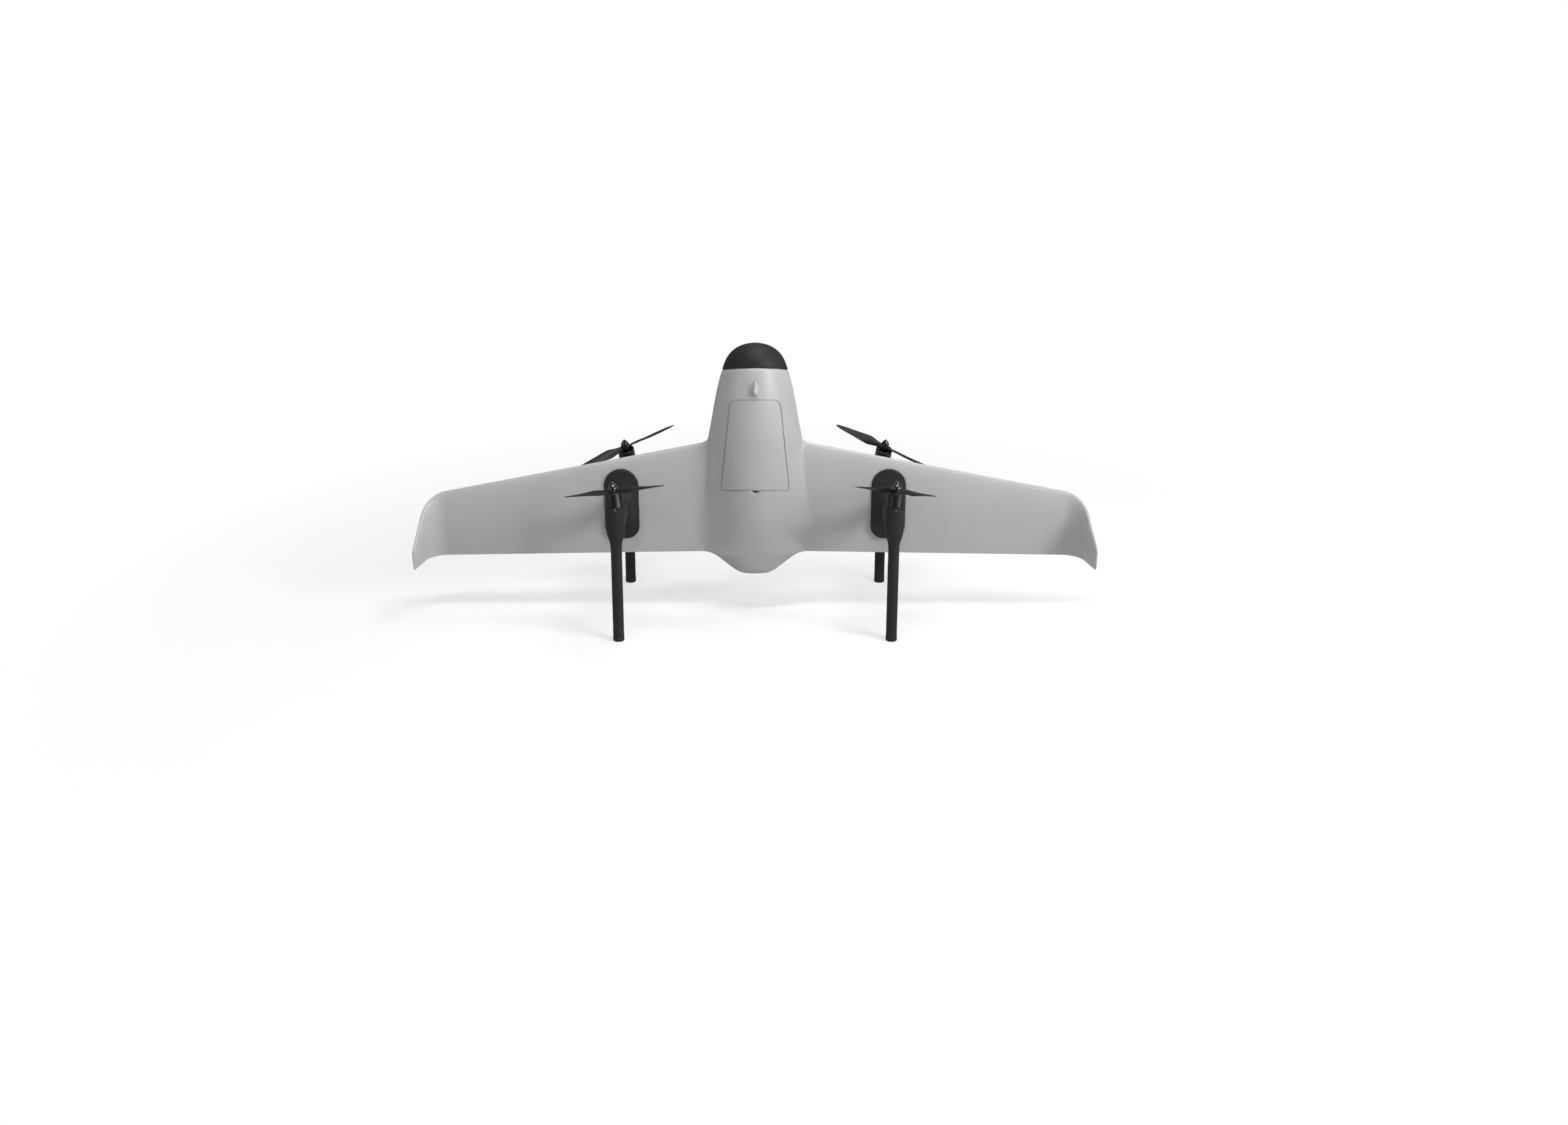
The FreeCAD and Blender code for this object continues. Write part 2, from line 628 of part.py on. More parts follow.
# two pairs of magnets hold the rear edge down
seat_y = -blend(TOP_POINTS, HATCH_REAR_Z + 10) + 8.0
seat_z = HATCH_REAR_Z + 13
top_shell = top_shell.cut(groove)
hatch_magnets, frame_magnets = [], []
for x in (-MAGNET_X, MAGNET_X):
    boss = box(x - 5, x + 5, seat_y - 7.0, seat_y, seat_z - 5, seat_z + 5).common(inner_side)
    magnet = Part.makeCylinder(MAGNET_R, MAGNET_THICK, V(x, seat_y - MAGNET_THICK, seat_z), V(0, 1, 0))
    hatch = fused([hatch, boss]).cut(magnet)
    hatch_magnets.append(magnet)
    pocket = Part.makeCylinder(MAGNET_R, MAGNET_THICK, V(x, seat_y + 0.6, seat_z), V(0, 1, 0))
    bridge = box(x - 6, x + 6, seat_y + 0.6, seat_y + 4.6, seat_z - 17, seat_z + 6)
    post = box(x - 6, x + 6, seat_y - 6.0, seat_y + 4.6, seat_z - 19, seat_z - 14.5).common(inner_side)
    top_shell = fused([top_shell, bridge, post]).cut(pocket)
    frame_magnets.append(pocket)
keep("battery_hatch", hatch)
keep("hatch_magnets", Part.makeCompound(hatch_magnets))
keep("frame_magnets", Part.makeCompound(frame_magnets))

# ---------------------------------------------------------------- build: nose
cap_inner = body_loft(2.4, TAIL_BOTTOM + 22)
keep("nose_cap", outer.common(above_cap_plane(CAP_GAP)).cut(cap_inner))
bulkhead = body_loft(SHELL + 0.2, TAIL_BOTTOM + 22).common(above_cap_plane(-9.0)).cut(above_cap_plane(-5.0))
for angle in (30, 150, 270):
    away = V(18 * math.cos(math.radians(angle)), 18 * math.sin(math.radians(angle)), 350)
    bulkhead = bulkhead.cut(Part.makeCylinder(4.0, 80, away))
keep("nose_bulkhead", bulkhead)

# air-speed probe on a streamlined foot, ahead of the hatch
probe_y = -blend(TOP_POINTS, PROBE_Z)
foot_wires = []
foot_sizes = ((-8, 4.8, 371, 393), (3, 4.3, 372, 392), (9, 3.2, 374, 391), (PROBE_OUT, 1.4, 377, 389))
for out, half, low, high in foot_sizes:
    ring = []
    for i in range(16):
        turn = 2 * math.pi * i / 16
        along = (low + high) / 2 + (high - low) / 2 * math.cos(turn)
        ring.append(V(half * math.sin(turn), probe_y - out, along))
    loop = Part.BSplineCurve()
    loop.interpolate(ring, PeriodicFlag=True)
    foot_wires.append(Part.Wire(loop.toShape()))
probe_foot = Part.makeLoft(foot_wires, True, False)
tube = revolved([(0, 375), (1.2, 376), (1.9, 379), (2.0, 384), (1.7, 392), (1.4, 399), (1.3, 403), (0.6, 403),
                 (0.6, 396), (0, 396)])
tube.translate(V(0, probe_y - PROBE_OUT, 0))
probe = fused([probe_foot, tube])
keep("pitot_tube", probe.cut(cavity))
keep("fuselage_top_shell", top_shell.cut(probe))

# ---------------------------------------------------------------- build: spars, battery and electronics
main_spar = cross_rod(MAIN_SPAR_HALF, 0, MAIN_SPAR_Z, MAIN_SPAR_R)
keep("main_spar", main_spar.cut(cross_rod(MAIN_SPAR_HALF + 9, 0, MAIN_SPAR_Z, MAIN_SPAR_R - 1.0)))
keep("rear_spar", cross_rod(REAR_SPAR_HALF, 0, REAR_SPAR_Z, REAR_SPAR_R))

tray_space = body_loft(SHELL + 0.1, TAIL_BOTTOM + 22)
tray = tray_space.common(box(-90, 90, 0.5, 2.9, 232, 362))
for z in (250, 282, 314, 346):
    for side in (-1, 1):
        tray = tray.cut(box(side * 42 - 5, side * 42 + 5, -5, 8, z - 9, z + 9))
keep("battery_tray", tray)
battery = box(-26, 26, -33, 0.5, 240, 346)
keep("battery", battery.makeFillet(4.0, edges_along("z", battery, 90)))
plug = fused([box(-8, 8, -22, -14, 346, 356), box(-6, 6, -21, -15, 356, 362)])
keep("battery_connector", plug)


def board_box(half_x, y0, y1, z0, z1, radius):
    solid = box(-half_x, half_x, y0, y1, z0, z1)
    return solid.makeFillet(radius, edges_along("y", solid, 1))


keep("flight_controller", board_box(19, 2.9, 14.9, 300, 342, 3.0))
keep("power_board", board_box(20, 6.0, 9.0, 205, 228, 2.0))
keep("telemetry_radio", board_box(14, 6.0, 15.0, 152, 180, 2.0))
keep("gnss_module", board_box(15, -18.0, -9.0, 108, 138, 3.0))
escs = [box(x - 7, x + 7, -14.0, -7.5, 150, 178) for x in (-40, -20, 20, 40)]
keep("speed_controllers", Part.makeCompound(escs))

camera_body = board_box(16, 2.9, 24.0, CAMERA_Z - 16, CAMERA_Z + 16, 3.0)
barrel = Part.makeCylinder(LENS_R, 14.0, V(0, 22.0, CAMERA_Z), lens_axis)
lens = Part.makeCylinder(LENS_R - 2.0, 2.5, V(0, 33.5, CAMERA_Z), lens_axis)
keep("payload_camera", fused([camera_body, barrel]).cut(lens))
keep("camera_lens", lens)
ring = Part.makeCylinder(LENS_R + 2.9, 9.0, V(0, 36.0, CAMERA_Z), lens_axis)
ring = ring.cut(Part.makeCylinder(LENS_R + 0.1, 12.0, V(0, 35.0, CAMERA_Z), lens_axis))
keep("camera_bezel", ring)

button_y = blend(BELLY_POINTS, BUTTON_Z)
button = Part.makeCylinder(BUTTON_R, 8.0, V(0, button_y - 7.6, BUTTON_Z), lens_axis)
button = button.makeFillet(0.8, [e for e in button.Edges if e.CenterOfMass.y > button_y])
button = fused([button, Part.makeCylinder(BUTTON_R + 1.5, 1.5, V(0, button_y - 7.6, BUTTON_Z), lens_axis)])
keep("power_button", button)
switch_top = button_y - 7.6 - BUTTON_TRAVEL - 0.3
keep("power_switch", box(-4, 4, 14.9, switch_top, BUTTON_Z - 4, BUTTON_Z + 4))

# ---------------------------------------------------------------- build: pylons, pods, legs, motors
lamp = Part.makeCylinder(LAMP_R, 4.0, V(POD_X, -POD_Y - POD_R + 2.4, LAMP_Z), V(0, -1, 0))
lamp = lamp.makeFillet(1.4, [e for e in lamp.Edges if e.CenterOfMass.y < -POD_Y - POD_R])
corner_pod = pod().cut(lamp)
corner_pylon = pylon(right_wing)
leg_tube = rod(V(POD_X, -POD_Y, FOOT_HEIGHT), V(POD_X, -POD_Y, POD_BOTTOM + 20), LEG_R)
leg_tube = leg_tube.cut(rod(V(POD_X, -POD_Y, 0), V(POD_X, -POD_Y, POD_BOTTOM + 30), LEG_BORE_R))
rubber_foot = revolved([(0, 0), (LEG_R - 0.6, 0), (LEG_R + 0.2, 0.8), (LEG_R + 0.2, FOOT_HEIGHT),
                        (LEG_BORE_R, FOOT_HEIGHT), (LEG_BORE_R, FOOT_HEIGHT + 10), (0, FOOT_HEIGHT + 10)])
rubber_foot.translate(V(POD_X, -POD_Y, 0))

stators, bearings, screws, feet, lights, cables = [], [], [], [], [], []
for name, (sx, sy, _, _) in MOTORS.items():
    lights.append(corner_copy(lamp, sx, sy))
    feet.append(corner_copy(rubber_foot, sx, sy))
    keep("pod_" + name, corner_copy(corner_pod, sx, sy))
    keep("pylon_" + name, corner_copy(corner_pylon, sx, sy))
    keep("leg_" + name, corner_copy(leg_tube, sx, sy))
    stators.append(to_motor(name, motor_stator()))
    bearings.append(to_motor(name, bearing(LOWER_BEARING_S)))
    bearings.append(to_motor(name, bearing(UPPER_BEARING_S)))
    screws += [to_motor(name, screw) for screw in motor_screw_set()]
    keep("motor_bell_" + name, to_motor(name, motor_bell()))
    keep("motor_shaft_" + name, to_motor(name, rod(V(0, 0, LOWER_BEARING_S), V(0, 0, HUB_TOP_S), SHAFT_R)))
    keep("propeller_" + name, propeller(name))
    keep("spinner_" + name, to_motor(name, spinner()))
    beside = V(0, 0, 1.8 if sy > 0 else -1.8)
    corners = [V(40, 0, DUCT_Z) + beside] + [point + beside for point in lead_path()]
    run = [rod(p, q, LEAD_R) for p, q in zip(corners, corners[1:])]
    bends = [Part.makeSphere(LEAD_R, corner) for corner in corners[1:-1]]
    cables.append(corner_copy(fused(run + bends), sx, sy))

keep("motor_stators", Part.makeCompound(stators))
keep("motor_bearings", Part.makeCompound(bearings))
keep("motor_screws", Part.makeCompound(screws))
keep("leg_feet", Part.makeCompound(feet))
keep("pod_lights", Part.makeCompound(lights))
keep("power_cables", Part.makeCompound(cables))

# ---------------------------------------------------------------- export
os.makedirs("parts", exist_ok=True)
for name, shape in parts.items():
    shape.exportStep("parts/" + name + ".step")
print(len(parts), "nodes")
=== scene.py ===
"""Looks for the tail-sitting flying-wing drone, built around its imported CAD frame.

All shapes are worked out in millimetres and turned into metres when a mesh is
made.  +Z is the nose, +X the right wing tip and -Y the dorsal (hatch) side.
"""

import json
import math

import bpy
import bmesh
from mathutils import Matrix, Vector


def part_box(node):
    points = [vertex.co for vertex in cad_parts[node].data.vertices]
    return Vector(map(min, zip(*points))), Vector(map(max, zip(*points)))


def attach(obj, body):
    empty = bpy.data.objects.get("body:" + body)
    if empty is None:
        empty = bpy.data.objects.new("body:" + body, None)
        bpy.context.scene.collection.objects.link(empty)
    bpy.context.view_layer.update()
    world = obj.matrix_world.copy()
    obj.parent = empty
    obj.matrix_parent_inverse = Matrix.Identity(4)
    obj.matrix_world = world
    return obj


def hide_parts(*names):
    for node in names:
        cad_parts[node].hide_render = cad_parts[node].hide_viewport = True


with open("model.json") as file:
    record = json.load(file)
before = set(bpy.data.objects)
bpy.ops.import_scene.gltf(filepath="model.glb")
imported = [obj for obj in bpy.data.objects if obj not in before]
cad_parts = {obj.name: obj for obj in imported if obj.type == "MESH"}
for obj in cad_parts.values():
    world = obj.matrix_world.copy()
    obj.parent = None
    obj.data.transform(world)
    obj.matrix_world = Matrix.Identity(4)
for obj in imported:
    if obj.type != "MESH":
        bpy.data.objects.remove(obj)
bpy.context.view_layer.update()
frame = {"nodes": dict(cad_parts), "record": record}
MM = 0.001


# ================================================================ sizes
def node_mm(name):
    """Lowest and highest corner of a CAD node, in millimetres."""
    low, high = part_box(name)
    return Vector(low) / MM, Vector(high) / MM


NOSE_TOP = node_mm("nose_cap")[1].z
TAIL_BOTTOM = node_mm("fuselage_belly_shell")[0].z
DOME_START = 385.0
DOME_POWER = 5.0
SKIN = 3.0
TAIL_ROUND = 14.0  # height over which the tail's rim rounds off
TAIL_SOLID = 22.0  # solid height at the tail, below the hollow

# wing planform
LE_AT_CENTRE = 301.2
LE_SLOPE = 0.196
TE_AT_CENTRE = 103.2
TE_SLOPE = 0.0157
THICKNESS_RATIO = 0.118
TE_HALF = 0.9
BODY_EDGE_X = 83.0
ROOT_X = 130.0
BEND_START_X = 495.0
BEND_RADIUS = 35.0
BEND_ANGLE = math.radians(78)
WINGLET_PANEL = 44.0
WINGLET_LE_SLOPE = 1.03

# nose cap joint, tilted towards the belly
CAP_Z = 403.2
CAP_TILT = math.tan(math.radians(17))
RIM_BEVEL, RIM_DROP = 5.0, 1.9  # rounding of the skin below the joint
CAP_BEVEL, CAP_DROP = 2.5, 0.55  # rounding of the cap above it
CAP_GAP = 0.4

# battery hatch
HATCH_FRONT_Z, HATCH_REAR_Z = 367.4, 219.4
HATCH_FRONT_HALF, HATCH_REAR_HALF = 39.3, 54.6
HATCH_FRONT_CORNER, HATCH_REAR_CORNER = 12.0, 4.0
HATCH_SLANT = math.tan(math.radians(15))
HATCH_SKIN = 1.7
HATCH_CLEARANCE = 0.1
SHUT_GAP = 1.05
LIP = 4.0
SCOOP_HALF, SCOOP_LENGTH, SCOOP_DEPTH, SCOOP_RAISE = 7.8, 5.4, 4.0, 1.2

# reach of the cutters through the skins, and the belly's two round openings
CUT_OUT, CUT_IN_TOP, CUT_IN_BELLY = 90, 8, 20
BEZEL_CLEARANCE = 0.15
BUTTON_HOLE_R = 5.3

# air-speed probe on the dorsal skin
PROBE_LOW, PROBE_HIGH, PROBE_TUBE_Z = 372.0, 396.0, 382.0
PROBE_HALF, PROBE_OUT, PROBE_ROOT = 5.4, 9.0, 2.5

# pods and pylons
foot_low, foot_high = node_mm("leg_top_right")
POD_X = (foot_low.x + foot_high.x) / 2
POD_Y = -(foot_low.y + foot_high.y) / 2
PAD_HALF, PAD_LOW, PAD_HIGH, PAD_OUT = 27.5, 127.5, 243.5, 13.0
PAD_ROOT, PAD_EDGE = 4.0, 2.4  # depth of the pad's foot inside the wing, rounding of its rim
STRUT_HALF, STRUT_LOW, STRUT_HIGH = 12.0, 170.0, 200.0
STRUT_END = POD_Y - 7.0
FLARE_LENGTH = 16.0

# each corner: side (+1 right), face (+1 belly), parked blade angle in degrees, turning direction
CORNERS = {
    "top_left": (-1, -1, -28, 1),
    "top_right": (1, -1, 43, 1),
    "belly_left": (-1, 1, 31, -1),
    "belly_right": (1, 1, -33, -1),
}
JOINTS = {joint["name"]: joint for joint in frame["record"]["behaviour"]["joints"]}


# ================================================================ curves
def blend(points, at):
    """Smooth monotone curve through a short list of (position, value) points."""
    xs = [p[0] for p in points]
    ys = [p[1] for p in points]
    if at <= xs[0]:
        return ys[0]
    if at >= xs[-1]:
        return ys[-1]
    steps = [(ys[i + 1] - ys[i]) / (xs[i + 1] - xs[i]) for i in range(len(xs) - 1)]
    slopes = [steps[0]]
    for before, after in zip(steps, steps[1:]):
        slopes.append(2 * before * after / (before + after) if before * after > 0 else 0.0)
    slopes.append(steps[-1])
    i = max(k for k in range(len(xs) - 1) if xs[k] <= at)
    width = xs[i + 1] - xs[i]
    t = (at - xs[i]) / width
    value = ys[i] * (1 + 2 * t) * (1 - t) ** 2 + ys[i + 1] * t * t * (3 - 2 * t)
    return value + width * t * (1 - t) * (slopes[i] * (1 - t) - slopes[i + 1] * t)


def smoothstep(t):
    """Smooth rise from 0 to 1."""
    t = min(1.0, max(0.0, t))
    return t * t * (3 - 2 * t)


def smooth_max(a, b, reach):
    """Larger of two heights with a concave fillet where they are close."""
    if reach <= 0.01:
        return max(a, b)
    near = max(reach - abs(a - b), 0.0) / reach
    return max(a, b) + near * near * reach / 4


# ================================================================ airframe form
WIDTH_POINTS = [(102, 83), (130, 80.5), (200, 78.5), (285, 75), (322, 68.9), (371, 60), (400, 52.6),
                (446, 39.5)]
TOP_POINTS = [(66, 15), (85, 22), (120, 32), (180, 45), (250, 54), (300, 55.5), (355, 50), (408, 38),
              (446, 29)]
BELLY_POINTS = [(66, 13), (85, 20), (120, 28), (180, 38), (250, 43), (300, 43), (355, 40), (408, 33),
                (446, 27)]
TOP_FULLNESS = [(66, 0.5), (78, 0.6), (102, 0.95), (130, 1.1), (180, 0.9), (250, 0.75)]
BELLY_FULLNESS = [(66, 0.5), (78, 0.55), (102, 0.9), (130, 1.0), (180, 0.75), (250, 0.58)]
FLARE_POINTS = [(70.3, 314), (72.2, 303), (73.6, 295), (75.6, 290.2), (79, 287), (85, 284.8), (91, 283.36)]
TAIL_FLAT_HALF = 13.0
TAIL_JOIN_Z = TE_AT_CENTRE - TE_SLOPE * BODY_EDGE_X
FILLET = 25.0
FILLET_START = 0.4  # chord share at which the fillet is full
FILLET_THICKNESS = 7.0  # wing half thickness at which it is full


def dome(z):
    """Share of the full size left at a height as the nose rounds off."""
    if z <= DOME_START:
        return 1.0
    reach = (z - DOME_START) / (NOSE_TOP - DOME_START)
    return math.sqrt(max(0.0, 1 - reach ** DOME_POWER))


def tail_half_width(z):
    """Bell-shaped tail outline, solved from its smooth rise."""
    rise = min(1.0, max(0.0, (z - TAIL_BOTTOM) / (TAIL_JOIN_Z - TAIL_BOTTOM)))
    low, high = 0.0, 1.0
    for _ in range(30):
        middle = (low + high) / 2
        if smoothstep(middle) < rise:
            low = middle
        else:
            high = middle
    return TAIL_FLAT_HALF + (BODY_EDGE_X - TAIL_FLAT_HALF) * low


def body_half_width(z):
    if z < TAIL_JOIN_Z:
        return tail_half_width(z)
    return blend(WIDTH_POINTS, z) * dome(z)


def leading_edge(x):
    if x < FLARE_POINTS[-1][0]:
        return blend(FLARE_POINTS, x)
    return LE_AT_CENTRE - LE_SLOPE * x


def trailing_edge(x):
    return TE_AT_CENTRE - TE_SLOPE * x


def airfoil_half(t):
    form = 0.2969 * math.sqrt(t) - 0.126 * t - 0.3516 * t ** 2 + 0.2843 * t ** 3 - 0.1036 * t ** 4
    return 5 * form


def wing_half(t, chord):
    return airfoil_half(t) * THICKNESS_RATIO * chord + TE_HALF * t


def outline_half_width(z):
    """Half width of the whole body outline ahead of the wing, with the root flare."""
    if z >= FLARE_POINTS[0][1] or z < TAIL_JOIN_Z:
        return body_half_width(z)
    flipped = [(height, x) for x, height in reversed(FLARE_POINTS)]
    return max(body_half_width(z), blend(flipped, z))


def body_height(x, z, side, inset=0.0):
    """Signed distance of the body skin from the centre plane; side -1 dorsal, +1 belly."""
    width = body_half_width(z) - inset
    heights, fullness = (TOP_POINTS, TOP_FULLNESS) if side < 0 else (BELLY_POINTS, BELLY_FULLNESS)
    tail = math.sqrt(max(0.0, 1 - (1 - min(1.0, (z - TAIL_BOTTOM) / TAIL_ROUND)) ** 2))
    height = blend(heights, z) * dome(z) * tail - inset
    power = blend(fullness, z)
    if width <= 0.1 or height <= 0.1:
        return 0.0
    share = 1 - (x / width) ** 2
    return height * math.copysign(abs(share) ** power, share)


def skin_height(x, z, side):
    """Distance of the outer skin from the centre plane, body and wing root blended."""
    x = abs(x)
    body = body_height(x, z, side)
    front, rear = leading_edge(x), trailing_edge(x)
    if z >= front or z <= rear - 0.001:
        return max(body, 0.0)
    chord = front - rear
    share = min(1.0, (front - z) / chord)
    wing = wing_half(share, chord)
    reach = FILLET * smoothstep(share / FILLET_START) * smoothstep(wing / FILLET_THICKNESS)
    return max(smooth_max(body, wing, reach), 0.0)


def cavity_height(x, z, side):
    """Distance of the inner skin from the centre plane; zero where the shell is solid."""
    if z < TAIL_BOTTOM + TAIL_SOLID:
        return 0.0
    return max(0.0, body_height(x, z, side, SKIN))


# ================================================================ mesh helpers
SAME_POINT = 0.0000015
TINY_EDGE = 0.0000005


def new_object(name, vertices, faces, smooth_angle=40.0):
    """Mesh object from millimetre points, shaded smooth except at sharp edges."""
    mesh = bpy.data.meshes.new(name)
    mesh.from_pydata([(x * MM, y * MM, z * MM) for x, y, z in vertices], [], faces)
    body = bmesh.new()
    body.from_mesh(mesh)
    bmesh.ops.remove_doubles(body, verts=body.verts, dist=SAME_POINT)
    bmesh.ops.dissolve_degenerate(body, edges=body.edges, dist=TINY_EDGE)
    bmesh.ops.recalc_face_normals(body, faces=body.faces)
    body.to_mesh(mesh)
    body.free()
    piece = bpy.data.objects.new(name, mesh)
    bpy.context.scene.collection.objects.link(piece)
    smooth(piece, smooth_angle)
    return piece


def smooth(piece, angle=40.0):
    mesh = piece.data
    for polygon in mesh.polygons:
        polygon.use_smooth = True
    mesh.set_sharp_from_angle(angle=math.radians(angle))


def quad_strip(first, second, closed=False):
    """Faces between two rows of vertex indices."""
    count = len(first)
    faces = []
    for j in range(count if closed else count - 1):
        k = (j + 1) % count
        faces.append((first[j], first[k], second[k], second[j]))
    return faces


def loft(name, rings, smooth_angle=40.0, cap=True):
    """Closed skin through equal closed rings of points."""
    vertices = [point for ring in rings for point in ring]
    count = len(rings[0])
    index = [[i * count + j for j in range(count)] for i in range(len(rings))]
    faces = []
    for first, second in zip(index, index[1:]):
        faces += quad_strip(first, second, closed=True)
    if cap:
        faces.append(tuple(reversed(index[0])))
        faces.append(tuple(index[-1]))
    return new_object(name, vertices, faces, smooth_angle)


def revolve(name, profile, steps=96, smooth_angle=40.0):
    """Solid of revolution about Z; the profile starts and ends on the axis."""
    rings = []
    for radius, height in profile:
        angles = [2 * math.pi * j / steps for j in range(steps)]
        rings.append([(radius * math.cos(a), radius * math.sin(a), height) for a in angles])
    return loft(name, rings, smooth_angle)


def arc(cx, cy, radius, start, end, steps):
    """Points on an arc, in degrees, for profiles."""
    angles = [math.radians(start + (end - start) * i / steps) for i in range(steps + 1)]
    return [(cx + radius * math.cos(a), cy + radius * math.sin(a)) for a in angles]


def circle(cx, cy, radius, steps):
    """Closed round outline."""
    angles = [2 * math.pi * i / steps for i in range(steps)]
    return [(cx + radius * math.cos(a), cy + radius * math.sin(a)) for a in angles]


def move(piece, matrix):
    piece.data.transform(matrix)
    piece.data.update()
    return piece


def boolean(piece, cutter, operation):
    """Join, cut or intersect a piece with a helper object, which is used up."""
    modifier = piece.modifiers.new("cut", "BOOLEAN")
    modifier.operation = operation
    modifier.solver = "EXACT"
    modifier.object = cutter
    bpy.context.view_layer.objects.active = piece
    bpy.ops.object.modifier_apply(modifier=modifier.name)
    bpy.data.objects.remove(cutter, do_unlink=True)
    return piece


def finish_piece(piece, body, material, *replaced):
    """Give a piece its material, its body and the CAD nodes it stands for."""
    piece.data.materials.clear()
    piece.data.materials.append(material)
    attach(piece, body)
    if replaced:
        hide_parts(*replaced)
    return piece


# ================================================================ materials
class Surface:
    """A node material with a few short ways to add texture to it."""

    def __init__(self, name, color, roughness, metallic=0.0, coat=0.0, gloss=0.5):
        self.material = bpy.data.materials.new(name)
        self.material.use_nodes = True
        self.tree = self.material.node_tree
        self.shader = self.tree.nodes["Principled BSDF"]
        self.base = color
        self.place = self.tree.nodes.new("ShaderNodeTexCoord").outputs["Object"]
        self.height = None
        self.shader.inputs["Base Color"].default_value = (*color, 1.0)
        self.shader.inputs["Roughness"].default_value = roughness
        self.shader.inputs["Metallic"].default_value = metallic
        self.shader.inputs["Coat Weight"].default_value = coat
        self.shader.inputs["Coat Roughness"].default_value = 0.12
        self.shader.inputs["Specular IOR Level"].default_value = gloss

    def link(self, source, target):
        self.tree.links.new(source, target)

    def stretched(self, scale):
        mapping = self.tree.nodes.new("ShaderNodeMapping")
        mapping.inputs["Scale"].default_value = scale
        self.link(self.place, mapping.inputs["Vector"])
        return mapping.outputs["Vector"]

    def noise(self, scale, detail=3.0, stretch=(1, 1, 1)):
        node = self.tree.nodes.new("ShaderNodeTexNoise")
        node.inputs["Scale"].default_value = scale
        node.inputs["Detail"].default_value = detail
        self.link(self.stretched(stretch), node.inputs["Vector"])
        return node.outputs["Fac"]

    def wave(self, scale, direction="X", distortion=0.0, stretch=(1, 1, 1)):
        node = self.tree.nodes.new("ShaderNodeTexWave")
        node.bands_direction = direction
        node.inputs["Scale"].default_value = scale
        node.inputs["Distortion"].default_value = distortion
        self.link(self.stretched(stretch), node.inputs["Vector"])
        return node.outputs["Fac"]

    def cells(self, scale, stretch=(1, 1, 1)):
        node = self.tree.nodes.new("ShaderNodeTexVoronoi")
        node.inputs["Scale"].default_value = scale
        self.link(self.stretched(stretch), node.inputs["Vector"])
        return node.outputs["Distance"]

    def spread(self, source, low, high):
        """Map a 0-1 texture to a range of numbers."""
        node = self.tree.nodes.new("ShaderNodeMapRange")
        node.inputs["To Min"].default_value = low
        node.inputs["To Max"].default_value = high
        self.link(source, node.inputs["Value"])
        return node.outputs["Result"]

    def tint(self, source, first, second, low=0.3, high=0.7):
        """Colour the surface between two colours by a texture."""
        ramp = self.tree.nodes.new("ShaderNodeValToRGB")
        ramp.color_ramp.elements[0].position = low
        ramp.color_ramp.elements[0].color = (*first, 1.0)
        ramp.color_ramp.elements[1].position = high
        ramp.color_ramp.elements[1].color = (*second, 1.0)
        self.link(source, ramp.inputs["Fac"])
        self.link(ramp.outputs["Color"], self.shader.inputs["Base Color"])
        return self

    def shade(self, source, amount=0.06):
        """Vary the base colour gently, lighter and darker."""
        darker = tuple(c * (1 - amount) for c in self.base)
        lighter = tuple(min(1.0, c * (1 + amount)) for c in self.base)
        return self.tint(source, darker, lighter)

    def roughen(self, source, low, high):
        self.link(self.spread(source, low, high), self.shader.inputs["Roughness"])
        return self

    def emboss(self, source, depth_mm, strength=1.0):
        """Add relief; several calls stack up."""
        bump = self.tree.nodes.new("ShaderNodeBump")
        bump.inputs["Distance"].default_value = depth_mm * MM
        bump.inputs["Strength"].default_value = strength
        self.link(source, bump.inputs["Height"])
        if self.height is not None:
            self.link(self.height, bump.inputs["Normal"])
        self.height = bump.outputs["Normal"]
        self.link(self.height, self.shader.inputs["Normal"])
        return self


def painted_foam():
    """Satin grey paint over moulded foam: faint orange peel and slow tone changes."""
    s = Surface("painted_foam", (0.47, 0.47, 0.475), 0.46, coat=0.05)
    s.shade(s.noise(9.0, 4.0), 0.025)
    s.roughen(s.noise(45.0, 5.0), 0.36, 0.48)
    s.emboss(s.noise(650.0, 2.0), 0.02, 0.5)
    s.emboss(s.noise(90.0, 2.0), 0.05, 0.35)
    return s.material


def moulded_plastic(name, color, low, high, grain=2600.0, gloss=0.5):
    """Injection-moulded plastic with a fine spark-eroded grain."""
    s = Surface(name, color, low, gloss=gloss)
    s.shade(s.noise(30.0, 3.0), 0.10)
    s.roughen(s.noise(140.0, 4.0), low, high)
    s.emboss(s.cells(grain), 0.02, 0.6)
    return s.material


def propeller_nylon():
    """Glass-filled nylon with faint flow lines."""
    s = Surface("propeller_nylon", (0.009, 0.009, 0.0095), 0.45, gloss=0.35)
    s.shade(s.noise(160.0, 3.0), 0.25)
    s.roughen(s.noise(90.0, 4.0), 0.38, 0.52)
    s.emboss(s.wave(420.0, "X", 3.0), 0.01, 0.35)
    return s.material


def spinner_gloss():
    """Polished spinner."""
    s = Surface("spinner_gloss", (0.01, 0.01, 0.011), 0.10, coat=0.8)
    s.shade(s.noise(200.0), 0.3)
    s.roughen(s.noise(260.0, 4.0), 0.07, 0.16)
    return s.material


def anodised_can():
    """Turned and anodised aluminium: fine rings round the motor."""
    s = Surface("anodised_can", (0.042, 0.043, 0.047), 0.4, metallic=1.0)
    s.shade(s.noise(60.0, 4.0), 0.18)
    s.roughen(s.noise(70.0, 4.0, (1, 1, 60)), 0.34, 0.48)
    s.emboss(s.wave(900.0, "Z", 0.4), 0.006, 0.5)
    return s.material


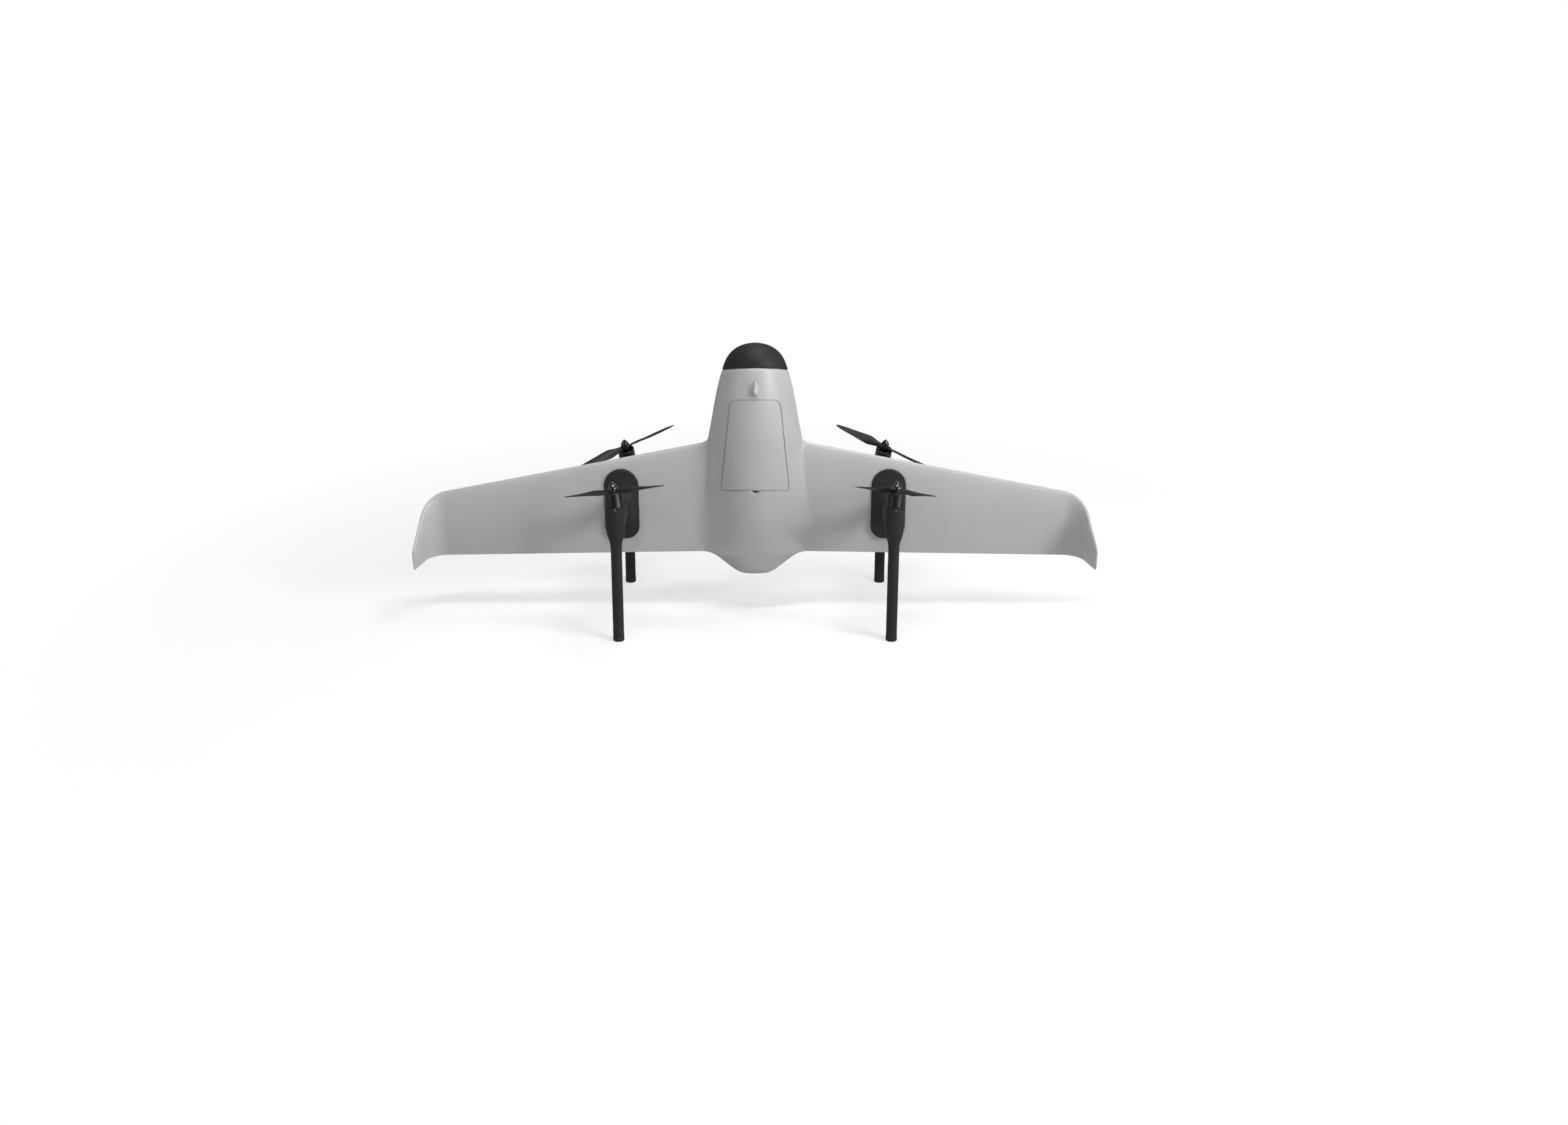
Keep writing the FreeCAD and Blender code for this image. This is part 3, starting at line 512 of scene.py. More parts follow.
def ground_steel():
    """Ground shafts, bearings and screws."""
    s = Surface("ground_steel", (0.55, 0.55, 0.56), 0.28, metallic=1.0)
    s.shade(s.noise(400.0, 4.0), 0.12)
    s.roughen(s.noise(300.0, 4.0, (1, 1, 20)), 0.2, 0.36)
    s.emboss(s.wave(1500.0, "Z", 1.0), 0.003, 0.4)
    return s.material


def copper_winding():
    """Enamelled wire packed on dark laminations."""
    s = Surface("copper_winding", (0.2, 0.08, 0.03), 0.3, metallic=0.9)
    s.tint(s.wave(700.0, "Z", 1.5), (0.04, 0.015, 0.006), (0.26, 0.11, 0.045), 0.25, 0.6)
    s.roughen(s.noise(500.0), 0.22, 0.42)
    s.emboss(s.wave(700.0, "Z", 1.5), 0.12, 0.8)
    return s.material


def red_lens():
    """Tinted lamp cover with a fine moulded prism pattern."""
    s = Surface("red_lens", (0.08, 0.012, 0.018), 0.3, coat=0.15)
    s.tint(s.cells(900.0), (0.045, 0.008, 0.012), (0.09, 0.015, 0.022), 0.1, 0.6)
    s.roughen(s.noise(300.0), 0.12, 0.24)
    s.emboss(s.cells(900.0), 0.06, 0.5)
    return s.material


def foot_rubber():
    """Matt ribbed rubber."""
    s = Surface("foot_rubber", (0.016, 0.016, 0.016), 0.8)
    s.shade(s.noise(120.0, 4.0), 0.3)
    s.roughen(s.noise(200.0, 4.0), 0.72, 0.92)
    s.emboss(s.noise(1200.0, 3.0), 0.04, 0.8)
    s.emboss(s.wave(260.0, "Z"), 0.08, 0.5)
    return s.material


def carbon_tube():
    """Woven carbon under clear resin."""
    s = Surface("carbon_tube", (0.02, 0.02, 0.022), 0.25, coat=0.9)
    s.tint(s.wave(330.0, "DIAGONAL", 0.3), (0.008, 0.008, 0.009), (0.05, 0.05, 0.055), 0.35, 0.65)
    s.roughen(s.wave(330.0, "DIAGONAL", 0.3), 0.2, 0.45)
    s.emboss(s.wave(330.0, "DIAGONAL", 0.3), 0.03, 0.4)
    return s.material


def shrink_wrap():
    """Tight heat-shrink sleeve with soft wrinkles."""
    s = Surface("shrink_wrap", (0.02, 0.06, 0.2), 0.25, coat=0.5)
    s.shade(s.noise(40.0, 4.0), 0.2)
    s.roughen(s.noise(110.0, 4.0), 0.18, 0.38)
    s.emboss(s.noise(60.0, 3.0, (1, 1, 6)), 0.3, 0.5)
    return s.material


def coated_glass():
    """Coated front lens of the camera."""
    s = Surface("coated_glass", (0.015, 0.02, 0.035), 0.04, coat=1.0)
    s.tint(s.noise(60.0), (0.010, 0.013, 0.03), (0.03, 0.022, 0.05))
    s.roughen(s.noise(200.0), 0.02, 0.07)
    return s.material


def silicone_wire():
    """Soft matt cable sleeve."""
    s = Surface("silicone_wire", (0.02, 0.02, 0.02), 0.55)
    s.shade(s.noise(150.0), 0.25)
    s.roughen(s.noise(240.0, 4.0), 0.45, 0.65)
    s.emboss(s.noise(900.0), 0.03, 0.6)
    return s.material


MATERIALS = {
    "airframe_grey": painted_foam(),
    "black_plastic": moulded_plastic("cap_plastic", (0.017, 0.017, 0.018), 0.5, 0.62, 2200.0, 0.3),
    "dark_plastic": moulded_plastic("pod_plastic", (0.0175, 0.0175, 0.018), 0.55, 0.7, 2600.0, 0.3),
    "propeller_plastic": propeller_nylon(),
    "spinner_gloss": spinner_gloss(),
    "anodised_metal": anodised_can(),
    "steel": ground_steel(),
    "copper_winding": copper_winding(),
    "red_lens": red_lens(),
    "foot_rubber": foot_rubber(),
    "carbon_tube": carbon_tube(),
    "battery_wrap": shrink_wrap(),
    "connector_yellow": moulded_plastic("connector_nylon", (0.62, 0.36, 0.03), 0.4, 0.55),
    "electronics_black": moulded_plastic("case_black", (0.03, 0.03, 0.033), 0.42, 0.6),
    "electronics_light": moulded_plastic("case_white", (0.62, 0.62, 0.6), 0.4, 0.55),
    "lens_glass": coated_glass(),
    "cable_rubber": silicone_wire(),
}


def dress_cad_nodes():
    """Give every carried-over CAD node the procedural material of its slot."""
    for subpart in frame["record"]["subparts"]:
        piece = frame["nodes"][subpart["node"]]
        material = MATERIALS[subpart["material_slot"]]
        piece.data.materials.clear()
        piece.data.materials.append(material)


# ================================================================ fuselage
COLUMNS = 64
ROOT_COLUMNS = 12
FRONT_ROWS = 56
CHORD_ROWS = 52
TAIL_ROWS = 34
EVEN_SHARE = 0.45
EVEN_LOW, EVEN_HIGH = 110, 300
JOIN_Z = blend(FLARE_POINTS, BODY_EDGE_X)


def crowd(z):
    """How strongly the columns crowd to the outline: fully, but less beside the wings."""
    return 1 - EVEN_SHARE * smoothstep((z - EVEN_LOW) / 40) * smoothstep((EVEN_HIGH - z) / 30)


def column_x(step, z):
    """Distance of a mesh column from the centre line."""
    share = step / COLUMNS
    mix = crowd(z)
    return outline_half_width(z) * ((1 - mix) * share + mix * math.sin(math.pi * share / 2))


def chord_share(k):
    """Chord rows, closest together at both edges of the wing."""
    return 0.5 * (1 - math.cos(math.pi * k / CHORD_ROWS))


def rim_height(step, side):
    """Height of the tilted cap joint at a column, found by repeated correction."""
    z = CAP_Z
    for _ in range(12):
        z = CAP_Z - CAP_TILT * side * skin_height(column_x(step, z), z, side)
    return z


def front_depths():
    """Rows from the cap's rim down to the wing, as shares of the way, finest at the bevel."""
    bevel = [0.0, 0.4, 0.9, 1.5, 2.2, RIM_BEVEL]
    span = CAP_Z - JOIN_Z
    rest = []
    for i in range(1, FRONT_ROWS + 1):
        t = i / FRONT_ROWS
        uneven = 0.22 * math.sin(2 * math.pi * t) / (2 * math.pi) * t
        rest.append(RIM_BEVEL + (span - RIM_BEVEL) * (t + uneven))
    return [d / span for d in bevel + rest]


def shell_points(side):
    """Outer and inner points of one fuselage half, keyed by (row, column)."""
    outer, inner = {}, {}
    row = 0
    rims = [rim_height(step, side) for step in range(COLUMNS + 1)]

    def put(r, step, x, z, height):
        for sign in ((1, -1) if step else (1,)):
            outer[(r, sign * step)] = (sign * x, side * height, z)
            depth = min(cavity_height(x, z, side), height)
            inner[(r, sign * step)] = (sign * x, side * depth, z)

    for share in front_depths():
        for step in range(COLUMNS + 1):
            z = rims[step] + (JOIN_Z - rims[step]) * share
            x = column_x(step, z)
            height = skin_height(x, z, side)
            below = rims[step] - z
            drop = RIM_DROP * max(0.0, 1 - below / RIM_BEVEL) ** 2
            shrink = 1 - drop / max(math.hypot(x, height), 1.0)
            put(row, step, x * shrink, z, height * shrink)
        row += 1
    row -= 1
    for k in range(CHORD_ROWS + 1):
        share = chord_share(k)
        z = JOIN_Z - share * (JOIN_Z - TAIL_JOIN_Z)
        for step in range(COLUMNS + 1):
            mix = crowd(z)
            s = step / COLUMNS
            x = BODY_EDGE_X * ((1 - mix) * s + mix * math.sin(math.pi * s / 2))
            put(row, step, x, z, skin_height(x, z, side))
        for extra in range(1, ROOT_COLUMNS + 1):
            x = BODY_EDGE_X + (ROOT_X - BODY_EDGE_X) * extra / ROOT_COLUMNS
            chord = leading_edge(x) - trailing_edge(x)
            height = skin_height(x, leading_edge(x) - share * chord, side)
            height = max(height, wing_half(share, chord))
            put(row, COLUMNS + extra, x, leading_edge(x) - share * chord, height)
        row += 1
    for i in range(1, TAIL_ROWS + 1):
        z = TAIL_JOIN_Z - (TAIL_JOIN_Z - TAIL_BOTTOM) * math.sin(math.pi * i / TAIL_ROWS / 2)
        for step in range(COLUMNS + 1):
            x = column_x(step, z)
            put(row, step, x, z, skin_height(x, z, side))
        row += 1
    return outer, inner


def shell_object(name, side):
    """One closed fuselage half: outer skin, inner skin and the walls that join them."""
    outer, inner = shell_points(side)
    keys = list(outer)
    index = {("out", key): i for i, key in enumerate(keys)}
    index.update({("in", key): i + len(keys) for i, key in enumerate(keys)})
    vertices = [outer[key] for key in keys] + [inner[key] for key in keys]
    faces, edges = [], {}
    for row, column in keys:
        ring = [(row, column), (row, column + 1), (row + 1, column + 1), (row + 1, column)]
        if not all(key in outer for key in ring):
            continue
        faces.append([index[("out", key)] for key in ring])
        faces.append([index[("in", key)] for key in reversed(ring)])
        for first, second in zip(ring, ring[1:] + ring[:1]):
            edges.setdefault(frozenset((first, second)), []).append((first, second))
    for uses in edges.values():
        if len(uses) == 1:
            first, second = uses[0]
            corners = (("out", second), ("out", first), ("in", first), ("in", second))
            faces.append([index[corner] for corner in corners])
    return new_object(name, vertices, faces)


def rounded_outline(corners, steps=8):
    """Closed XZ outline from (x, z, radius) corners."""
    points = []
    count = len(corners)
    for i, (x, z, radius) in enumerate(corners):
        here = Vector((x, z))
        before = (Vector(corners[i - 1][:2]) - here).normalized()
        after = (Vector(corners[(i + 1) % count][:2]) - here).normalized()
        if radius <= 0:
            points.append((x, z))
            continue
        half = math.acos(max(-1.0, min(1.0, before.dot(after)))) / 2
        reach = radius / math.tan(half)
        centre = here + (before + after).normalized() * (radius / math.sin(half))
        start = here + before * reach - centre
        end = here + after * reach - centre
        sweep = start.angle_signed(end)
        for k in range(steps + 1):
            turn = -sweep * k / steps
            spoke = Vector((start.x * math.cos(turn) - start.y * math.sin(turn),
                            start.x * math.sin(turn) + start.y * math.cos(turn)))
            points.append((centre.x + spoke.x, centre.y + spoke.y))
    return points


def prism(name, outline, y0, y1, slant=0.0):
    """An XZ outline extruded along Y; a slant lowers it towards the belly."""
    front_y = -blend(TOP_POINTS, HATCH_FRONT_Z)
    return loft(name, [[(x, y, z - slant * (y - front_y)) for x, z in outline] for y in (y0, y1)])


def hatch_outline(shrink):
    """Rounded trapezoid of the hatch, made smaller all round."""
    front, rear = HATCH_FRONT_Z - shrink, HATCH_REAR_Z + shrink
    f, r = HATCH_FRONT_HALF - shrink, HATCH_REAR_HALF - shrink
    front_r, rear_r = HATCH_FRONT_CORNER - shrink, max(1.0, HATCH_REAR_CORNER - shrink)
    return rounded_outline([(-f, front, front_r), (f, front, front_r), (r, rear, rear_r), (-r, rear, rear_r)])


def ellipsoid(name, centre, radii, steps=48):
    """Ellipsoid with its poles on Z."""
    rings = []
    for i in range(1, steps):
        a = math.pi * i / steps
        rings.append([(centre[0] + radii[0] * math.sin(a) * math.cos(2 * math.pi * j / steps),
                       centre[1] + radii[1] * math.sin(a) * math.sin(2 * math.pi * j / steps),
                       centre[2] + radii[2] * math.cos(a)) for j in range(steps)])
    return loft(name, rings)


def skin_slab(name, above, below):
    """Curved slab that follows the dorsal skin under the hatch."""
    columns, rows = 92, 110
    half, low, high = 60.0, 205.0, 384.0
    upper, lower = [], []
    for i in range(rows + 1):
        z = low + (high - low) * i / rows
        for j in range(columns + 1):
            x = -half + 2 * half * j / columns
            height = skin_height(x, z, -1)
            upper.append((x, -height - above, z))
            lower.append((x, -height + below, z))
    count = columns + 1
    faces = []
    for i in range(rows):
        for j in range(columns):
            a, b = i * count + j, i * count + j + 1
            c, d = b + count, a + count
            faces.append((a, b, c, d))
            faces.append(tuple(k + len(upper) for k in (d, c, b, a)))
    rim = list(range(count)) + [i * count + columns for i in range(1, rows + 1)]
    rim += [rows * count + j for j in range(columns - 1, -1, -1)]
    rim += [i * count for i in range(rows - 1, 0, -1)]
    for first, second in zip(rim, rim[1:] + rim[:1]):
        faces.append((second, first, first + len(upper), second + len(upper)))
    return new_object(name, upper + lower, faces)


def build_fuselage():
    """Dorsal half with the hatch opening and scoop, belly half with its two round openings."""
    top = shell_object("fuselage_top_skin", -1)
    recess = prism("recess", hatch_outline(0.0), -CUT_OUT, -CUT_IN_TOP, HATCH_SLANT)
    boolean(recess, skin_slab("slab", 2.0, HATCH_SKIN), "INTERSECT")
    boolean(top, recess, "DIFFERENCE")
    opening = prism("opening", hatch_outline(LIP), -CUT_OUT, -CUT_IN_TOP, HATCH_SLANT)
    boolean(top, opening, "DIFFERENCE")
    scoop_y = -blend(TOP_POINTS, HATCH_REAR_Z) - SCOOP_RAISE
    radii = (SCOOP_HALF, SCOOP_RAISE + SCOOP_DEPTH, SCOOP_LENGTH)
    scoop = ellipsoid("scoop", (0, scoop_y, HATCH_REAR_Z + 0.5), radii)
    boolean(top, scoop, "DIFFERENCE")
    smooth(top)
    finish_piece(top, "airframe", MATERIALS["airframe_grey"], "fuselage_top_shell")

    belly = shell_object("fuselage_belly_skin", 1)
    ring_low, ring_high = node_mm("camera_bezel")
    centre = (ring_low + ring_high) / 2
    window = circle(centre.x, centre.z, (ring_high.x - ring_low.x) / 2 + BEZEL_CLEARANCE, 64)
    boolean(belly, prism("window", window, CUT_IN_BELLY, CUT_OUT), "DIFFERENCE")
    key_low, key_high = node_mm("power_button")
    hole = circle(0, (key_low.z + key_high.z) / 2, BUTTON_HOLE_R, 48)
    boolean(belly, prism("button_hole", hole, CUT_IN_BELLY, CUT_OUT), "DIFFERENCE")
    smooth(belly)
    finish_piece(belly, "airframe", MATERIALS["airframe_grey"], "fuselage_belly_shell")


def build_hatch():
    """Hatch panel: the skin inside the shut line, resting on the lip."""
    hatch = prism("battery_hatch_panel", hatch_outline(SHUT_GAP), -CUT_OUT, -CUT_IN_TOP, HATCH_SLANT)
    boolean(hatch, skin_slab("slab", 0.0, HATCH_SKIN - HATCH_CLEARANCE), "INTERSECT")
    smooth(hatch)
    finish_piece(hatch, "hatch", MATERIALS["airframe_grey"], "battery_hatch")


def build_nose_cap():
    """Domed cap on the tilted rim, closed by a shallow cone underneath."""
    around = range(-COLUMNS, COLUMNS)
    columns = [(step, -1) for step in around] + [(-step, 1) for step in around]
    rings = []
    rows = 44
    starts = []
    for step, side in columns:
        z = rim_height(abs(step), side) + CAP_GAP
        reach = (z - DOME_START) / (NOSE_TOP - DOME_START)
        starts.append(math.asin(min(1.0, reach ** (DOME_POWER / 2))))
    for i in range(rows + 1):
        ring = []
        for (step, side), start in zip(columns, starts):
            angle = start + (math.pi / 2 - start) * (i / rows) ** 1.7
            z = DOME_START + (NOSE_TOP - DOME_START) * math.sin(angle) ** (2 / DOME_POWER)
            x = math.copysign(column_x(abs(step), z), step)
            height = skin_height(x, z, side)
            up = z - (DOME_START + (NOSE_TOP - DOME_START) * math.sin(start) ** (2 / DOME_POWER))
            drop = CAP_DROP * max(0.0, 1 - up / CAP_BEVEL) ** 2
            shrink = 1 - drop / max(math.hypot(x, height), 1.0)
            ring.append((x * shrink, side * height * shrink, z))
        rings.append(ring)
    base = [(x * 0.9, y * 0.9, z) for x, y, z in rings[0]]
    middle = [(0.0, 0.0, CAP_Z) for _ in base]
    cap = loft("nose_cap_dome", [middle, base] + rings, cap=False)
    finish_piece(cap, "airframe", MATERIALS["black_plastic"], "nose_cap")


def build_probe():
    """Air-speed probe: a lens-shaped blister on the skin with a slim tube towards the nose."""
    rings = []
    rows = 36
    for i in range(1, rows):
        t = i / rows
        z = PROBE_LOW + (PROBE_HIGH - PROBE_LOW) * t
        fullness = math.sin(math.pi * t ** 0.68) ** 0.85
        skin = skin_height(0, z, -1)
        ring = []
        for k in range(48):
            a = 2 * math.pi * k / 48
            depth = PROBE_OUT * fullness if math.sin(a) > 0 else PROBE_ROOT
            ring.append((PROBE_HALF * fullness * math.cos(a), -skin - depth * math.sin(a), z))
        rings.append(ring)
    blister = loft("air_speed_probe", rings)
    profile = [(0, 0), (1.5, 2), (1.2, 9), (0.8, 18)] + arc(0, 18, 0.8, 0, 90, 6)[1:]
    tube = revolve("tube", profile, 32)
    tube_y = -skin_height(0, PROBE_TUBE_Z, -1) - PROBE_OUT + 3
    move(tube, Matrix.Translation(Vector((0, tube_y, PROBE_TUBE_Z)) * MM))
    boolean(blister, tube, "UNION")
    smooth(blister)
    finish_piece(blister, "airframe", MATERIALS["airframe_grey"], "pitot_tube")


# ================================================================ wings
def wing_ring(x, y, normal_x, normal_y, z_le, z_te, thin=1.0):
    """One airfoil section round the point (x, y), thick along the given normal."""
    chord = z_le - z_te
    upper, lower = [], []
    for k in range(CHORD_ROWS + 1):
        share = chord_share(k)
        half = wing_half(share, chord) * thin
        z = z_le - share * chord
        upper.append((x + normal_x * half, y + normal_y * half, z))
        lower.append((x - normal_x * half, y - normal_y * half, z))
    return upper + lower[:0:-1]


def wing_rings():
    """Right wing sections from the root joint round the bend to the tip."""
    rings = []
    flat_steps = 14
    for i in range(flat_steps + 1):
        x = ROOT_X + (BEND_START_X - ROOT_X) * i / flat_steps
        rings.append(wing_ring(x, 0.0, 0.0, -1.0, leading_edge(x), trailing_edge(x)))
    bend = BEND_RADIUS * BEND_ANGLE
    total = bend + WINGLET_PANEL
    tip, edge = 7.0, 2.0  # lengths over which the tip's outline and its thickness round off
    stations = [bend * i / 24 for i in range(1, 25)]
    stations += [bend + (WINGLET_PANEL - tip) * i / 8 for i in range(1, 9)]
    stations += [total - tip + tip * math.sin(math.pi * i / 20) for i in range(1, 11)]
    z_te = trailing_edge(BEND_START_X)
    for s in stations:
        turn = min(s, bend) / BEND_RADIUS
        straight = max(0.0, s - bend)
        x = BEND_START_X + BEND_RADIUS * math.sin(turn) + straight * math.cos(turn)
        y = -BEND_RADIUS * (1 - math.cos(turn)) - straight * math.sin(turn)
        grow = (WINGLET_LE_SLOPE - LE_SLOPE) / (2 * bend) * min(s, bend) ** 2
        drop = LE_SLOPE * min(s, bend) + grow + WINGLET_LE_SLOPE * straight
        near_tip = max(0.0, (s - (total - tip)) / tip)
        round_off = 1 - math.sqrt(max(0.0, 1 - near_tip ** 2))
        end = max(0.0, (s - (total - edge)) / edge)
        thin = math.sqrt(max(0.0, 1 - end ** 2))
        z_le = leading_edge(BEND_START_X) - drop - 6.0 * round_off
        rings.append(wing_ring(x, y, -math.sin(turn), -math.cos(turn), z_le, z_te + 1.5 * round_off, thin))
    return rings


def build_wings():
    """Right wing and its mirror image."""
    rings = wing_rings()
    for name, sign in (("right_wing", 1), ("left_wing", -1)):
        mirrored = [[(sign * x, y, z) for x, y, z in ring] for ring in rings]
        wing = loft(name + "_skin", mirrored, smooth_angle=50)
        finish_piece(wing, "airframe", MATERIALS["airframe_grey"], name)


# ================================================================ pylons
def obround(half, low, high):
    """Outline with a full-radius top and softer lower corners, centred on x = 0."""
    corner = half * 0.75
    points = arc(0, high - half, half, 0, 180, 32)
    points += [(-half, high - half + (low + corner - high + half) * i / 10) for i in range(1, 10)]
    points += arc(-half + corner, low + corner, corner, 180, 270, 12)
    points += arc(half - corner, low + corner, corner, 270, 360, 12)
    points += [(half, low + corner + (high - half - low - corner) * i / 10) for i in range(1, 10)]
    return points


def pylon_rings():
    """Top right pylon: rounded pad on the wing, concave flare, then a strut to the pod."""
    start = 0.18
    sections = [(PAD_ROOT, 0.0, 0.0)]
    for depth, out in arc(0, 0, PAD_EDGE, 0, 90, 6):
        sections.append((PAD_OUT - PAD_EDGE + out, 0.0, PAD_EDGE - depth))
    steps = 18
    for i in range(1, steps + 1):
        reach = (i / steps) ** 1.4
        ease = start + (1 - start) * (1 - (1 - reach) ** 2.6)
        sections.append((PAD_OUT + FLARE_LENGTH * reach, ease, 0.0))
    sections.append((STRUT_END, 1.0, 0.0))
    rings = []
    for out, ease, inset in sections:
        half = PAD_HALF + (STRUT_HALF - PAD_HALF) * ease - inset
        low = PAD_LOW + (STRUT_LOW - PAD_LOW) * ease + inset
        high = PAD_HIGH + (STRUT_HIGH - PAD_HIGH) * ease - inset
        rings.append([(POD_X + x, -out, z) for x, z in obround(half, low, high)])
    return rings


def build_pylons():
    """The four pylons, mirrored from the top right one."""
    rings = pylon_rings()
    for corner, (sx, sy, _, _) in CORNERS.items():
        placed = [[(sx * x, -sy * y, z) for x, y, z in ring] for ring in rings]
        pylon = loft("pylon_body_" + corner, placed, smooth_angle=50)
        finish_piece(pylon, "airframe", MATERIALS["dark_plastic"], "pylon_" + corner)


# ================================================================ rotors
def motor_matrix(corner):
    """Place of a motor: local Z along its shaft, origin at the joint, in metres."""
    joint = JOINTS["rotor_" + corner + "_spin"]
    axis = Vector(joint["axis"]).normalized()
    e1 = Vector((0, 1, 0)).cross(axis).normalized()
    e2 = axis.cross(e1)
    matrix = Matrix((e1, e2, axis)).transposed().to_4x4()
    matrix.translation = Vector(joint["pos_m"])
    return matrix


PROP_RADIUS = 95.5
PROP_PITCH = 114.0
PITCH_HOLD_R = 30.0
BLADE_S = 24.1
HUB_LOW_S, HUB_TOP_S, HUB_R = 20.9, 27.6, 6.5
SHAFT_R = 2.0
ROOT_R = 4
SWEEP, SWEEP_START_R = 0.02, 30
THICK_POINTS = [(4, 0.34), (14, 0.30), (34, 0.17), (60, 0.12), (97, 0.08)]
CHORD_POINTS = [(4, 8), (14, 10), (32, 17), (60, 13.5), (83, 9), (91.5, 5.5), (95, 2.6)]


def blade_rings(spin):
    """Twisted airfoil sections from the hub to a rounded tip; spin is the turning direction."""
    rings = []
    stations = [ROOT_R + (PROP_RADIUS - 4.6) * i / 40 for i in range(41)]
    stations += [PROP_RADIUS - 0.25, PROP_RADIUS]
    for r in stations:
        chord = blend(CHORD_POINTS, r)
        if r > PROP_RADIUS - 0.5:
            chord *= 0.75 if r < PROP_RADIUS else 0.3
        pitch = math.atan(PROP_PITCH / (2 * math.pi * max(r, PITCH_HOLD_R)))
        thick = chord * blend(THICK_POINTS, r)
        ahead = Vector((0, spin * math.cos(pitch), math.sin(pitch)))
        over = Vector((0, -spin * math.sin(pitch), math.cos(pitch)))
        centre = Vector((r, -spin * SWEEP * max(0.0, r - SWEEP_START_R), BLADE_S))
        upper, lower = [], []
        for i in range(15):
            t = 0.5 * (1 - math.cos(math.pi * i / 14))
            half = airfoil_half(t) * thick + 0.1 * t
            camber = 0.35 * thick * 4 * t * (1 - t)
            base = centre + ahead * (chord * (0.5 - t)) + over * camber
            upper.append(base + over * half)
            lower.append(base - over * half)
        rings.append([tuple(p) for p in upper + lower[:0:-1]])
    return rings


def hub_profile():
    """Half section of the hub, bored for the shaft, with rounded rims."""
    low, top = 0.5, 0.8
    profile = [(SHAFT_R, HUB_LOW_S), (HUB_R - 0.4, HUB_LOW_S)]
    profile += arc(HUB_R - low, HUB_LOW_S + low, low, -80, 0, 4)
    profile += arc(HUB_R - top, HUB_TOP_S - top, top, 0, 90, 5)
    return profile + [(SHAFT_R, HUB_TOP_S)]


def build_propellers():
    """Two-blade propellers, each parked at its own angle on its motor's shaft."""
    for corner, (_, _, azimuth, spin) in CORNERS.items():
        hub = ring_revolve("propeller_blades_" + corner, hub_profile())
        for turn in (0, 180):
            one = loft("blade", blade_rings(spin))
            move(one, Matrix.Rotation(math.radians(turn), 4, "Z"))
            boolean(hub, bored(one), "UNION")
        smooth(hub, 35)
        move(hub, Matrix.Rotation(math.radians(azimuth), 4, "Z"))
        move(hub, motor_matrix(corner))
        finish_piece(hub, "rotor_" + corner, MATERIALS["propeller_plastic"], "propeller_" + corner)


def bored(piece):
    """Clear the shaft's way through a blade root."""
    cutter = revolve("bore", [(0, 0), (SHAFT_R, 0), (SHAFT_R, 60), (0, 60)], 48)
    return boolean(piece, cutter, "DIFFERENCE")


def ring_revolve(name, profile, steps=64):
    """Solid of revolution with a hole: the profile is a closed loop clear of the axis."""
    rings = []
    for j in range(steps):
        a = 2 * math.pi * j / steps
        rings.append([(r * math.cos(a), r * math.sin(a), z) for r, z in profile])
    vertices = [point for ring in rings for point in ring]
    count = len(profile)
    faces = []
    for j in range(steps):
        first = [j * count + i for i in range(count)]
        second = [((j + 1) % steps) * count + i for i in range(count)]
        faces += quad_strip(first, second, closed=True)
    return new_object(name, vertices, faces)


# ================================================================ studio
AIM = Vector((0, 0, 0.22))
CAMERA_PLACE = (0.0, -2.4007, 0.9883)
CAMERA_DOWN = 17.86
CAMERA_LENS = 36.22
CAMERA_SHIFT = (0.01848, -0.0497)


def build_studio():
    """Floor, surroundings and four soft lights; sizes in metres."""
    floor_size = 60.0
    mesh = bpy.data.meshes.new("floor")
    corners = [(-floor_size, -floor_size, 0), (floor_size, -floor_size, 0),
               (floor_size, floor_size, 0), (-floor_size, floor_size, 0)]
    mesh.from_pydata(corners, [], [(0, 1, 2, 3)])
    floor = bpy.data.objects.new("floor", mesh)
    bpy.context.scene.collection.objects.link(floor)
    floor.data.materials.append(studio_paper())

    bpy.context.scene.world = studio_world()
    soft_light("key_light", (3.2, -2.3, 1.8), (1.7, 1.7), 106)
    soft_light("fill_light", (-2.4, -1.4, 1.0), (0.9, 1.4), 8)
    soft_light("top_front_light", (0.2, -0.75, 2.6), (2.0, 0.3), 31)
    soft_light("top_back_light", (0.4, 0.45, 2.6), (2.0, 0.3), 14)


def studio_paper():
    """White floor: paper with soft shadows near the drone, plain white for the camera far away."""
    paper = Surface("floor_paper", (0.55, 0.55, 0.55), 0.85)
    paper.shade(paper.noise(3.0), 0.01)
    tree = paper.tree
    seen = tree.nodes.new("ShaderNodeLightPath").outputs["Is Camera Ray"]
    paper.shader.inputs["Emission Color"].default_value = (1, 1, 1, 1)
    paper.link(paper.spread(seen, 0.0, 0.44), paper.shader.inputs["Emission Strength"])
    distance = tree.nodes.new("ShaderNodeVectorMath")
    distance.operation = "LENGTH"
    paper.link(paper.place, distance.inputs[0])
    far = tree.nodes.new("ShaderNodeMapRange")
    far.inputs["From Min"].default_value = 0.62
    far.inputs["From Max"].default_value = 1.15
    paper.link(distance.outputs["Value"], far.inputs["Value"])
    both = tree.nodes.new("ShaderNodeMath")
    both.operation = "MULTIPLY"
    paper.link(far.outputs["Result"], both.inputs[0])
    paper.link(seen, both.inputs[1])
    white = tree.nodes.new("ShaderNodeEmission")
    fade = tree.nodes.new("ShaderNodeMixShader")
    paper.link(both.outputs["Value"], fade.inputs["Fac"])
    paper.link(paper.shader.outputs["BSDF"], fade.inputs[1])
    paper.link(white.outputs["Emission"], fade.inputs[2])
    paper.link(fade.outputs["Shader"], tree.nodes["Material Output"].inputs["Surface"])
    return paper.material


